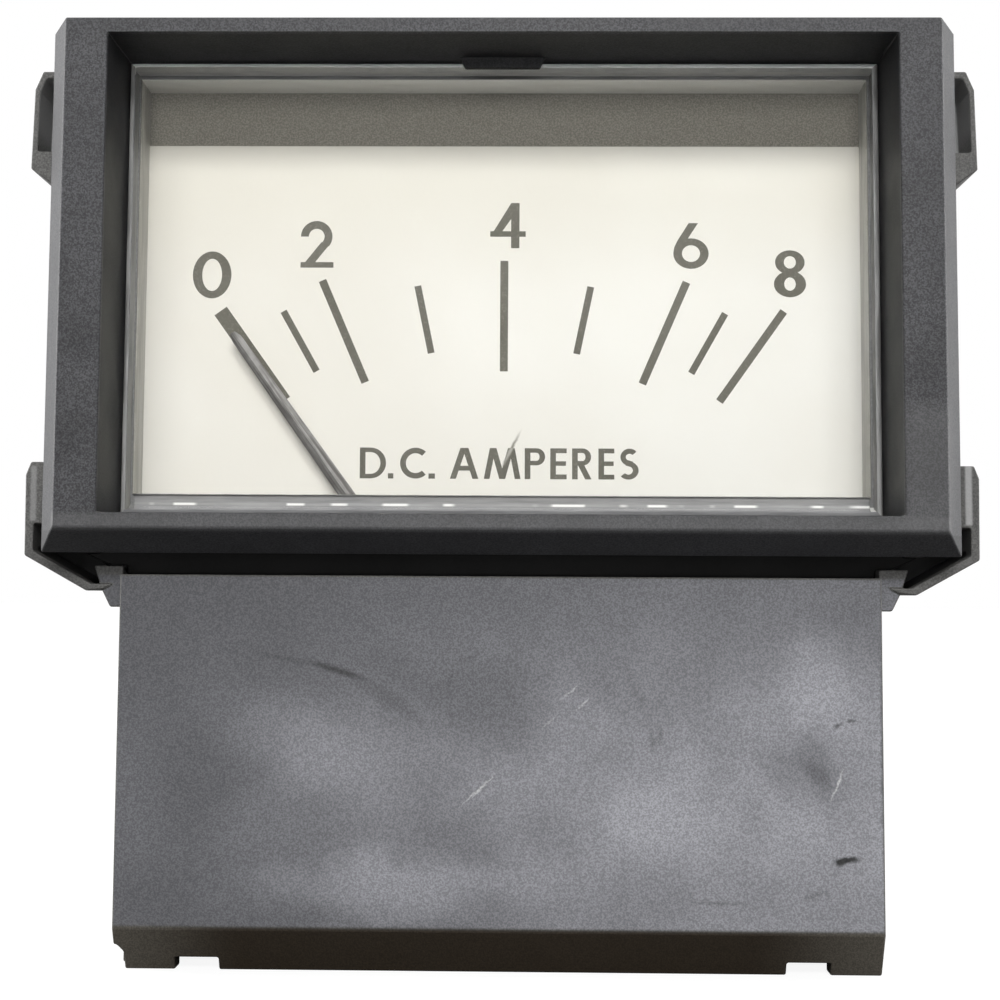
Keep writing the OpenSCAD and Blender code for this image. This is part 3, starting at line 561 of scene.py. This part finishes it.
def printInk(name, look):
    material, tree, shader = newFinish(name)
    grain = useGroup(tree, grainGroup, Grain=look["grain"] * mm, Patch=look["patch"] * mm)
    thin = spread(tree, grain["Height"], 0.5, 0.75, 0.0, 0.6)
    colour = mixColour(tree, thin, (*look["full"], 1), (*look["thin"], 1))
    colour = mixColour(tree, dialScratch(tree), colour, (*look["scratched"], 1))
    tree.links.new(colour, shader.inputs["Base Color"])
    tree.links.new(spread(tree, grain["Tone"], 0.3, 0.7, 0.5, 0.65), shader.inputs["Roughness"])
    addBump(tree, shader, grain["Height"], 0.004)
    return material


# Metal with fine machining or rolling lines, tarnish in patches and rubbed edges
def bareMetal(name, look):
    material, tree, shader = newFinish(name)
    shader.inputs["Metallic"].default_value = look["metal"]
    where = objectSpace(tree)
    aligned = put(tree, "ShaderNodeMapping", None, {"Vector": where, "Rotation": (0, radians(look["turn"]), 0)})
    stretched = vectorCalc(tree, "MULTIPLY", aligned.outputs[0], look["lines"])
    lines = noise(tree, stretched, 1.0, 3.0, 0.6)
    patch = noise(tree, where, 1.0 / (look["patch"] * mm), 4.0, 0.6)
    dull = spread(tree, patch, 0.35, 0.65, 0.0, look["tarnish"])
    colour = mixColour(tree, dull, (*look["colour"], 1), (*look["dull"], 1))
    colour = mixColour(tree, spread(tree, lines, 0.4, 0.66, 0.0, look["lined"]), colour, (*look["dull"], 1))
    worn = useGroup(tree, wearGroup, Width=0.12 * mm, Amount=look["wear"])["Mask"]
    colour = mixColour(tree, worn, colour, (*look["bright"], 1))
    tree.links.new(colour, shader.inputs["Base Color"])
    rough = calc(tree, "ADD", spread(tree, lines, 0.3, 0.7, look["rough"], look["rough"] + 0.12),
                 calc(tree, "MULTIPLY", dull, 0.2))
    tree.links.new(rough, shader.inputs["Roughness"])
    addBump(tree, shader, lines, look["bump"])
    return material


metalLooks = {
    "brass": {"colour": (0.72, 0.52, 0.22), "dull": (0.42, 0.3, 0.14), "bright": (0.9, 0.72, 0.4),
              "metal": 1.0, "rough": 0.3, "tarnish": 0.6, "wear": 0.5, "lines": (900, 6000, 900),
              "patch": 2.5, "bump": 0.003, "turn": 0, "lined": 0.25},
    "platedSteel": {"colour": (0.62, 0.62, 0.6), "dull": (0.38, 0.38, 0.37), "bright": (0.8, 0.8, 0.8),
                    "metal": 1.0, "rough": 0.32, "tarnish": 0.5, "wear": 0.4, "lines": (3000, 3000, 3000),
                    "patch": 2.0, "bump": 0.003, "turn": 0, "lined": 0.25},
    "polishedSteel": {"colour": (0.7, 0.7, 0.72), "dull": (0.5, 0.5, 0.5), "bright": (0.85, 0.85, 0.85),
                      "metal": 1.0, "rough": 0.16, "tarnish": 0.2, "wear": 0.3, "lines": (900, 8000, 900),
                      "patch": 2.0, "bump": 0.001, "turn": 0, "lined": 0.25},
    "copper": {"colour": (0.75, 0.38, 0.24), "dull": (0.36, 0.17, 0.1), "bright": (0.9, 0.55, 0.4),
               "metal": 1.0, "rough": 0.34, "tarnish": 0.7, "wear": 0.4, "lines": (500, 500, 5000),
               "patch": 3.0, "bump": 0.003, "turn": 0, "lined": 0.25},
    "magnetMetal": {"colour": (0.26, 0.26, 0.28), "dull": (0.14, 0.13, 0.13), "bright": (0.5, 0.5, 0.5),
                    "metal": 1.0, "rough": 0.45, "tarnish": 0.6, "wear": 0.5, "lines": (2500, 2500, 2500),
                    "patch": 1.5, "bump": 0.008, "turn": 0, "lined": 0.25},
    "iron": {"colour": (0.4, 0.39, 0.38), "dull": (0.22, 0.19, 0.17), "bright": (0.62, 0.6, 0.58),
             "metal": 1.0, "rough": 0.4, "tarnish": 0.6, "wear": 0.3, "lines": (3000, 600, 600),
             "patch": 1.5, "bump": 0.004, "turn": 0, "lined": 0.25},
    # The needle's strong lengthwise lines are partly rolling lines and partly painted highlight and shade: light
    # and dark streaks along the folded strip
    "needleMetal": {"colour": (0.31, 0.305, 0.3), "dull": (0.06, 0.054, 0.05), "bright": (0.62, 0.62, 0.6),
                    "metal": 0.25, "rough": 0.35, "tarnish": 0.4, "wear": 0.2, "lines": (5200, 5200, 220),
                    "patch": 1.2, "bump": 0.003, "turn": 35.6, "lined": 0.85},
}
metals = {name: bareMetal(name, look) for name, look in metalLooks.items()}
lensPlastic = clearLens("lensPlastic", lensLook)
frosts = [frostedEdge(name, look) for name, look in frostLooks.items()]
dialFace = dialPaint("dialFace", dialLook)
dialInk = printInk("dialInk", inkLook)
print("materials made")


followers = [
    # node, piece name, body, slot, material, edge radius
    ("bezel", "bezelShell", "case", "bezel_plastic", bezelPlastic, 0.12),
    ("lens", "lensShell", "case", "clear_plastic", lensPlastic, 0.08),
    ("dial_plate", "dialPlate", "case", "dial_paint", dialFace, 0.05),
    ("dial_screws", "dialScrews", "case", "brass", metals["brass"], 0.06),
    ("housing", "housingShell", "case", "case_plastic", casePlastic, 0.12),
    ("back_cover", "backCover", "case", "cover_plastic", coverPlastic, 0.15),
    ("cover_screws", "coverScrews", "case", "plated_steel", metals["platedSteel"], 0.12),
    ("movement_bracket", "movementBracket", "case", "brass", metals["brass"], 0.08),
    ("bracket_screws", "bracketScrews", "case", "brass", metals["brass"], 0.08),
    ("front_bearing", "frontBearing", "case", "brass", metals["brass"], 0.06),
    ("rear_bearing", "rearBearing", "case", "brass", metals["brass"], 0.06),
    ("bearing_locknuts", "bearingLocknuts", "case", "brass", metals["brass"], 0.08),
    ("stop_pins", "stopPins", "case", "brass", metals["brass"], 0.05),
    ("magnet", "controlMagnet", "case", "magnet_metal", metals["magnetMetal"], 0.15),
    ("conductor_strap", "conductorStrap", "case", "copper", metals["copper"], 0.12),
    ("fixing_washers", "fixingWashers", "case", "plated_steel", metals["platedSteel"], 0.08),
    ("pivot_staff", "pivotStaff", "movement", "polished_steel", metals["polishedSteel"], 0.05),
    ("pointer", "foldedPointer", "movement", "needle_metal", metals["needleMetal"], 0.02),
    ("pointer_hub", "pointerHub", "movement", "brass", metals["brass"], 0.06),
    ("balance_weight", "balanceWeight", "movement", "brass", metals["brass"], 0.05),
    ("iron_vane", "ironVane", "movement", "iron", metals["iron"], 0.05),
    ("vane_collar", "vaneCollar", "movement", "brass", metals["brass"], 0.06),
]
for node, name, body, slot, material, width in followers:
    place(softCopy(node, name, width), body, material, [node])


lensFaces = {"plateBack": 3.3, "margin": 0.2, "leaning": 0.3}
housingFaces = {"facing": -0.9, "frontDepth": 6, "frontTop": -21, "lipTop": -43.9, "wallDepth": 6.6}


# Frosts the lens's walls and rims and leaves the window itself clear
def frostWalls(piece, look):
    for material in frosts:
        piece.data.materials.append(material)
    names, leaning = list(frostLooks), look["leaning"]
    behindPlate = (look["plateBack"] + look["margin"]) * mm
    for face in piece.data.polygons:
        turn, spot = face.normal, face.center
        outward = turn.x * spot.x + turn.z * spot.z > 0
        if abs(turn.x) > leaning:
            finish = "sidesOutside" if outward else "sidesInside"
        elif turn.z < -leaning and spot.z > 0:
            finish = "topInside"
        elif abs(turn.z) > leaning or spot.y > behindPlate:
            finish = "topRim" if spot.z > 0 else "footRim"
        else:
            continue
        face.material_index = names.index(finish) + 1


# The flat front with its lip and the wall behind the window have materials of their own, which carry painted sheen
# and shade on the front and painted light on the wall
def finishHousing(piece, look):
    piece.data.materials.append(frontPlastic)
    piece.data.materials.append(wallPlastic)
    for face in piece.data.polygons:
        forward, spot = face.normal.y < look["facing"], face.center
        front = forward and spot.z < look["frontTop"] * mm or spot.z < look["lipTop"] * mm
        if front and spot.y < look["frontDepth"] * mm:
            face.material_index = 1
        elif forward and spot.y > look["wallDepth"] * mm:
            face.material_index = 2


frostWalls(bpy.data.objects["lensShell"], lensFaces)
finishHousing(bpy.data.objects["housingShell"], housingFaces)
print("node copies made:", len(followers))


# Rows of (radius, y) turned about a stud's line; a radius or y may be a function of the angle
def addTurned(form, x, z, rows, steps, loop=False):
    rings = []
    for radius, y in rows:
        circle = []
        for i in range(steps):
            angle = 2 * pi * i / steps
            r = radius(angle) if callable(radius) else radius
            depth = y(angle) if callable(y) else y
            circle.append(form.verts.new(((x + r * cos(angle)) * mm, depth * mm, (z + r * sin(angle)) * mm)))
        rings.append(circle)
    pairs = list(zip(rings, rings[1:])) + ([(rings[-1], rings[0])] if loop else [])
    for a, b in pairs:
        for i in range(steps):
            k = (i + 1) % steps
            form.faces.new((a[i], a[k], b[k], b[i]))
    if not loop:
        form.faces.new(rings[0][::-1])
        form.faces.new(rings[-1])


# Rows of a helical thread from y0 to y1, with a tapered lead at y1
def threadRows(y0, y1, look):
    count = round((y1 - y0) / look["pitch"] * look["ringsPerTurn"])
    rows = []
    for j in range(count + 1):
        y = y0 + (y1 - y0) * j / count
        top = look["r"] - look["leadIn"] * max(0.0, 1 - (y1 - y) / look["leadIn"])

        def radius(angle, y=y, top=top):
            phase = (y / look["pitch"] - angle / (2 * pi)) % 1.0
            crest = min(1.0, max(0.0, look["flank"] * abs(phase - 0.5) - look["root"]))
            return min(top, look["r"] - look["depth"] * (1 - crest))
        rows.append((radius, y))
    return rows


# Distance from the centre to a hexagon's side, with its corners to the left and right
def hexSide(flats):
    def side(angle):
        return flats / 2 / cos(angle % radians(60) - radians(30))
    return side


# Rows of a hexagon between y0 and y1, its corners cut back by a cone at both ends
def hexRows(y0, y1, flats, look):
    side = hexSide(flats)
    face = flats / 2 * look["face"]
    slope = tan(radians(look["corner"]))

    def low(angle):
        return y0 + (side(angle) - face) * slope

    def high(angle):
        return y1 - (side(angle) - face) * slope
    return [(face, y0), (side, low), (side, high), (face, y1)]


terminalLook = {
    "r": 2.08, "pitch": 0.794, "depth": 0.36, "flank": 2.7, "root": 0.12, "ringsPerTurn": 12, "leadIn": 0.45,
    "around": 48, "face": 0.94, "corner": 30, "headInset": 1.2, "headFoot": 0.6,
    "boreGap": 0.05, "countersink": 0.3,
}
washerLook = {
    "width": 1.35, "chamfer": 0.12, "steps": 40, "gap": 10.0,  # gap and skew in degrees
    "lift": 0.05, "skew": 9.0, "spring": 0.9,
}


def makeStuds(look):
    low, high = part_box("terminal_studs")
    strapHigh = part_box("conductor_strap")[1]
    flats = (high.z - low.z) / mm
    studX = high.x / mm - flats / 2 / cos(radians(30))
    studZ = (low.z + high.z) / 2 / mm
    headTop = strapHigh.y / mm - look["headInset"]
    form = bmesh.new()
    for x in (-studX, studX):
        rows = [(look["headFoot"] * flats / 2, low.y / mm)] + hexRows(low.y / mm, headTop, flats, look)
        addTurned(form, x, studZ, rows + threadRows(headTop, high.y / mm, look), look["around"])
    bmesh.ops.recalc_face_normals(form, faces=form.faces)
    piece = addObject("terminalStuds", form)
    shadeByAngle(piece.data, 40)
    place(piece, "case", metals["brass"], ["terminal_studs"])
    return studX, studZ


def makeNuts(name, node, studX, studZ, look):
    low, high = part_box(node)
    flats = (high.z - low.z) / mm
    y0, y1 = low.y / mm, high.y / mm
    hole = look["r"] - look["depth"] + look["boreGap"]
    lead = look["countersink"]
    form = bmesh.new()
    for x in (-studX, studX):
        rows = [(hole, y1 - lead), (hole, y0 + lead), (hole + lead, y0)]
        rows += hexRows(y0, y1, flats, look) + [(hole + lead, y1)]
        addTurned(form, x, studZ, rows, look["around"], loop=True)
    bmesh.ops.recalc_face_normals(form, faces=form.faces)
    piece = addObject(name, form)
    shadeByAngle(piece.data, 25)
    roundEdges(piece, 0.06, 2, 35)
    place(piece, "case", metals["brass"], [node])


# Split ring: a section swept round the stud, its ends cut askew and sprung apart a little
def makeLockWashers(studX, studZ, look):
    low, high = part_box("lock_washers")
    outer = high.x / mm - studX
    inner = outer - look["width"]
    y0, y1 = low.y / mm, high.y / mm
    middle = (y0 + y1) / 2
    steps, gap, lift, cham = look["steps"], look["gap"], look["lift"], look["chamfer"]
    form = bmesh.new()
    for x in (-studX, studX):
        section = [(inner, y0 + cham), (inner + cham, y0), (outer - cham, y0), (outer, y0 + cham),
                   (outer, y1 - cham), (outer - cham, y1), (inner + cham, y1), (inner, y1 - cham)]
        rings = []
        for i in range(steps + 1):
            share = i / steps
            corners = []
            for r, y in section:
                skew = look["skew"] * (y - middle) / (y1 - y0)
                angle = radians(90 + gap / 2 + skew + (360 - gap) * share)
                sprung = lift * (1 - 2 * share) * look["spring"]
                depth = middle + (y - middle) * (1 - 2 * lift) + sprung
                corners.append(form.verts.new(((x + r * cos(angle)) * mm, depth * mm,
                                               (studZ + r * sin(angle)) * mm)))
            rings.append(corners)
        for a, b in zip(rings, rings[1:]):
            for i in range(len(section)):
                k = (i + 1) % len(section)
                form.faces.new((a[i], a[k], b[k], b[i]))
        form.faces.new(rings[0][::-1])
        form.faces.new(rings[-1])
    bmesh.ops.recalc_face_normals(form, faces=form.faces)
    piece = addObject("lockWashers", form)
    shadeByAngle(piece.data, 30)
    place(piece, "case", metals["platedSteel"], ["lock_washers"])


studPlace = makeStuds(terminalLook)
for name, node in (("fixingNuts", "fixing_nuts"), ("terminalNuts", "terminal_nuts")):
    makeNuts(name, node, *studPlace, terminalLook)
makeLockWashers(*studPlace, washerLook)
print("terminals made")


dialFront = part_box("dial_plate")[0].y / mm
printLook = {
    "front": dialFront - 0.012, "back": dialFront + 0.01, "stroke": 0.41,
    "wordsLow": -13.18, "wordsHigh": -10.93, "weld": 0.0005,
    "rayX": 0.15, "rayZ": -29.6,              # where the scale's lines meet
    "arcR": 59.0, "arcTop": 2.85, "arcLow": -5.31,  # arcs through the ends of the long lines
    "shorter": 1.55, "major": 0.58, "minor": 0.5, "zeroWidth": 1.1, "zeroShift": -0.2,
    "rays": [(-35.6, "zero"), (-29.4, "minor"), (-23.3, "major"), (-11.7, "minor"), (0, "major"),
             (11.7, "minor"), (23.3, "major"), (29.4, "minor"), (35.3, "major")],
}


def bar(x0, z0, x1, z1):
    return [[(x0, z0), (x1, z0), (x1, z1), (x0, z1)]]


# A slanting stroke whose ends are cut level; width is measured across the stroke
def slant(x0, z0, x1, z1, width):
    half = width / 2 * hypot(x1 - x0, z1 - z0) / abs(z1 - z0)
    return [[(x0 - half, z0), (x0 + half, z0), (x1 + half, z1), (x1 - half, z1)]]


# A straight stroke with square ends
def line(x0, z0, x1, z1, width):
    length = hypot(x1 - x0, z1 - z0)
    nx, nz = -(z1 - z0) / length * width / 2, (x1 - x0) / length * width / 2
    return [[(x0 - nx, z0 - nz), (x1 - nx, z1 - nz), (x1 + nx, z1 + nz), (x0 + nx, z0 + nz)]]


# Part of a ring between two ellipses, from one angle to another, as short flat sectors
def ring(x, z, outer, inner, start=0, end=360, steps=28):
    parts = []
    for i in range(steps):
        a = radians(start + (end - start) * i / steps)
        b = radians(start + (end - start) * (i + 1) / steps)
        parts.append([
            (x + outer[0] * cos(a), z + outer[1] * sin(a)), (x + outer[0] * cos(b), z + outer[1] * sin(b)),
            (x + inner[0] * cos(b), z + inner[1] * sin(b)), (x + inner[0] * cos(a), z + inner[1] * sin(a)),
        ])
    return parts


# Joins overlapping outlines into one flat shape and gives it the thickness of a printed film
def printPiece(name, outlines, look):
    points, loops = [], []
    for outline in outlines:
        area = sum(a[0] * b[1] - b[0] * a[1] for a, b in zip(outline, outline[1:] + outline[:1]))
        ordered = outline if area > 0 else outline[::-1]
        loops.append(list(range(len(points), len(points) + len(ordered))))
        points += [Vector(p) for p in ordered]
    corners, _, faces, _, _, owners = delaunay_2d_cdt(points, [], loops, 0, look["weld"])
    form = bmesh.new()
    verts = [form.verts.new((p.x * mm, look["front"] * mm, p.y * mm)) for p in corners]
    for face, owner in zip(faces, owners):
        if owner:  # the triangle lies inside at least one outline
            form.faces.new([verts[i] for i in face])
    bmesh.ops.delete(form, geom=[v for v in verts if not v.link_faces], context="VERTS")
    bmesh.ops.dissolve_limit(form, angle_limit=radians(0.5), verts=form.verts, edges=form.edges)
    solid = bmesh.ops.extrude_face_region(form, geom=form.faces[:])
    depth = Vector((0, (look["back"] - look["front"]) * mm, 0))
    bmesh.ops.translate(form, vec=depth, verts=[v for v in solid["geom"] if isinstance(v, bmesh.types.BMVert)])
    bmesh.ops.recalc_face_normals(form, faces=form.faces)
    piece = addObject(name, form)
    place(piece, "case", dialInk)


# Where a ray at this angle from upright crosses the arc of that radius
def rayEnd(angle, apex, look):
    sx, cz = sin(radians(angle)), cos(radians(angle))
    fromX, fromZ = look["rayX"], look["rayZ"] - (apex - look["arcR"])
    b = fromX * sx + fromZ * cz
    return -b + sqrt(b * b - (fromX ** 2 + fromZ ** 2 - look["arcR"] ** 2))


def scaleLines(look):
    shapes = []
    for angle, kind in look["rays"]:
        outer, inner = rayEnd(angle, look["arcTop"], look), rayEnd(angle, look["arcLow"], look)
        cut = look["shorter"] if kind == "minor" else 0
        width = look["zeroWidth"] if kind == "zero" else look[kind]
        shift = look["zeroShift"] if kind == "zero" else 0
        sx, cz = sin(radians(angle)), cos(radians(angle))
        x, z = look["rayX"] + shift * cz, look["rayZ"] - shift * sx
        shapes += line(x + (inner + cut) * sx, z + (inner + cut) * cz,
                       x + (outer - cut) * sx, z + (outer - cut) * cz, width)
    return shapes


def numerals():
    zero = ring(-21.3, 1.75, (1.42, 1.745), (0.73, 1.2), steps=36)
    two = ring(-13.65, 4.62, (1.16, 1.16), (0.58, 0.58), -40, 180)
    two += slant(-14.2, 2.6, -12.93, 4.2, 0.58) + bar(-14.81, 2.31, -12.39, 2.72)
    four = bar(0.63, 3.79, 1.24, 7.15) + bar(-0.9, 4.64, 1.7, 5.05)
    four += [[(-0.9, 4.64), (-0.3, 4.64), (0.9, 6.35), (0.9, 7.15), (0.63, 7.15)]]
    six = ring(13.79, 3.42, (1.29, 1.13), (0.66, 0.62), steps=32)
    six += [[(13.62, 5.68), (14.31, 5.68), (13.62, 4.62), (13.2, 3.9), (12.6, 3.2), (12.5, 3.42),
             (12.56, 3.86), (12.78, 4.34)]]
    eight = ring(20.99, 2.79, (1.08, 0.89), (0.44, 0.46), steps=28)
    eight += ring(20.99, 1.18, (1.17, 0.97), (0.42, 0.49), steps=28)
    return zero + two + four + six + eight


def unitWords(look):
    w, low, high = look["stroke"], look["wordsLow"], look["wordsHigh"]
    mid, rise = (low + high) / 2, high - low

    def upright(x):
        return bar(x, low, x + w, high)

    def bowl(x, right, bottom, top):
        rx, rz = min(right - x - w, (top - bottom) / 2), (top - bottom) / 2
        shapes = ring(right - rx, (top + bottom) / 2, (rx, rz), (rx - w, rz - 0.8 * w), -90, 90, steps=14)
        shapes += bar(x, top - 0.8 * w, right - rx, top)
        return shapes + bar(x, bottom, right - rx, bottom + 0.8 * w)

    def armsOf(x, right):
        return (upright(x) + bar(x, high - 0.85 * w, right, high) + bar(x, low, right, low + 0.85 * w)
                + bar(x, mid - 0.35 * w, right - 0.05, mid + 0.45 * w))

    shapes = upright(-10.27) + bowl(-10.27, -8.36, low, high)
    shapes += bar(-8.22, low, -7.82, low + 0.38) + bar(-5.27, low, -4.8, low + 0.38)
    shapes += ring(-6.22, mid, (1.12, rise / 2), (0.7, rise / 2 - 0.4), 48, 312)
    shapes += slant(-3.5, low, -2.75, high, w) + slant(-1.86, low, -2.6, high, w)
    shapes += bar(-3.25, low + 0.6, -2.1, low + 0.95)
    shapes += slant(-1.05, low, -0.62, high, w) + slant(1.2, low, 0.77, high, w)
    shapes += slant(0.08, low, -0.56, high, w) + slant(0.08, low, 0.7, high, w)
    shapes += upright(1.71) + bowl(1.71, 3.19, mid - 0.12, high)
    shapes += armsOf(3.56, 4.75)
    shapes += upright(5.14) + bowl(5.14, 6.52, mid - 0.12, high) + slant(6.32, low, 5.75, mid, w)
    shapes += armsOf(7.05, 8.2)
    top, bottom = high - 0.62, low + 0.66
    shapes += ring(9.3, top, (0.66, 0.62), (0.27, 0.25), 40, 250, steps=16)
    shapes += ring(9.22, bottom, (0.74, 0.66), (0.32, 0.3), -140, 70, steps=16)
    shapes += line(9.06, top - 0.4, 9.5, bottom + 0.44, 0.42)
    return shapes


prints = {"scaleLines": scaleLines(printLook), "scaleNumerals": numerals(), "unitWords": unitWords(printLook)}
for name, outlines in prints.items():
    printPiece(name, outlines, printLook)
print("dial printed")


cameraPlan = {
    "place": (1.475, -95.506, -21.579), "turn": (93.85134, -0.34327, 0.84321), "lens": 50.863, "sensor": 36.0,
    "clip": (0.005, 50.0),
}


def makeCamera(plan):
    data = bpy.data.cameras.new("camera")
    data.lens, data.sensor_width = plan["lens"], plan["sensor"]
    data.clip_start, data.clip_end = plan["clip"]
    camera = bpy.data.objects.new("camera", data)
    camera.location = [v * mm for v in plan["place"]]
    camera.rotation_euler = [radians(v) for v in plan["turn"]]
    scene.collection.objects.link(camera)
    scene.camera = camera


lampPlan = [
    # name, place, aim, width and height (metres), power (watts)
    ("keyMiddle", (0.02, -0.425, 0.262), (0, 0, -0.01), (0.16, 0.08), 0.95),
    ("keyLeft", (-0.13, -0.405, 0.25), (0, 0, -0.01), (0.10, 0.10), 0.5),
    ("keyRight", (0.13, -0.405, 0.25), (0, 0, -0.01), (0.10, 0.10), 0.6),
    ("softboxLeft", (-0.34, 0.03, 0.05), (0, 0, -0.01), (0.08, 0.30), 1.75),
    ("softboxRight", (0.34, 0.03, 0.05), (0, 0, -0.01), (0.08, 0.30), 1.35),
    ("softboxTop", (0.0, 0.08, 0.45), (0, 0, -0.01), (0.3, 0.3), 0.5),
    ("softboxBack", (0.12, 0.45, 0.25), (0, 0.02, -0.02), (0.25, 0.25), 0.9),
    ("fill", (0.0, -0.50, 0.04), (0, 0, -0.01), (0.2, 0.2), 1.15),
]


def makeLamp(name, spot, aim, size, power):
    data = bpy.data.lights.new(name, "AREA")
    data.shape = "RECTANGLE"
    data.size, data.size_y = size
    data.energy = power
    lamp = bpy.data.objects.new(name, data)
    lamp.location = spot
    lamp.rotation_euler = (Vector(aim) - Vector(spot)).to_track_quat("-Z", "Y").to_euler()
    lamp.visible_glossy = lamp.visible_transmission = name != "fill"  # the window doesn't mirror the fill
    scene.collection.objects.link(lamp)


def seenDirectly(tree):
    path = put(tree, "ShaderNodeLightPath").outputs
    mirrored = calc(tree, "MAXIMUM", path["Is Glossy Ray"], path["Is Transmission Ray"])
    return path["Is Camera Ray"], mirrored


worldLook = {"ambient": 0.1, "front": 0.1, "horizon": 0.3}
floorLook = {
    "half": 3.0, "gap": 0.02, "pale": 0.14, "mottle": 0.02, "fibre": 900, "rough": 0.9, "specular": 0.1,
    "seen": (60, 400, 0.9, 1.0), "mirrored": (40, 300),  # glow by distance from the middle
}


# White for the eye; mirrored, it is white behind the object and dim on the camera's side
def makeWorld(look):
    world = bpy.data.worlds.new("paleRoom")
    scene.world = world
    world.use_nodes = True
    tree = world.node_tree
    camera, mirrored = seenDirectly(tree)
    heading = put(tree, "ShaderNodeTexCoord").outputs["Generated"]
    depth = put(tree, "ShaderNodeSeparateXYZ", None, {0: heading}).outputs[1]
    behind = spread(tree, depth, -look["horizon"], look["horizon"], look["front"], 1.0)
    strength = calc(tree, "ADD", look["ambient"], calc(tree, "MULTIPLY", mirrored, behind))
    strength = calc(tree, "MAXIMUM", camera, strength)
    tree.nodes["Background"].inputs["Color"].default_value = (1, 1, 1, 1)
    tree.links.new(calc(tree, "MINIMUM", strength, 1.0), tree.nodes["Background"].inputs["Strength"])


def makeFloor(look):
    form = bmesh.new()
    bmesh.ops.create_grid(form, x_segments=1, y_segments=1, size=look["half"])
    bmesh.ops.translate(form, vec=(0, 0, cadBox[0].z - look["gap"] * mm), verts=form.verts)
    floor = addObject("paleFloor", form)
    material, tree, shader = newFinish("paleFloor")
    spots = noise(tree, objectSpace(tree), look["fibre"], 3.0)
    darker, lighter = shade(look["pale"] - look["mottle"]), shade(look["pale"] + look["mottle"])
    tree.links.new(mixColour(tree, spots, darker, lighter), shader.inputs["Base Color"])
    shader.inputs["Roughness"].default_value = look["rough"]
    shader.inputs["Specular IOR Level"].default_value = look["specular"]
    camera, mirrored = seenDirectly(tree)
    away = vectorCalc(tree, "LENGTH", vectorCalc(tree, "MULTIPLY", objectSpace(tree), (1.0, 1.0, 0.0)))
    seen = calc(tree, "MULTIPLY", camera, ramp(tree, away, look["seen"]))
    shown = calc(tree, "MULTIPLY", mirrored, ramp(tree, away, look["mirrored"]))
    glow = put(tree, "ShaderNodeEmission", None, {"Strength": calc(tree, "MAXIMUM", seen, shown)})
    lit = put(tree, "ShaderNodeAddShader", None, {0: shader.outputs[0], 1: glow.outputs[0]})
    tree.links.new(lit.outputs[0], tree.nodes["Material Output"].inputs["Surface"])
    floor.data.materials.append(material)


makeCamera(cameraPlan)
for plan in lampPlan:
    makeLamp(*plan)
makeWorld(worldLook)
makeFloor(floorLook)
scene.view_settings.view_transform = "Standard"
print("camera, lights and floor made")
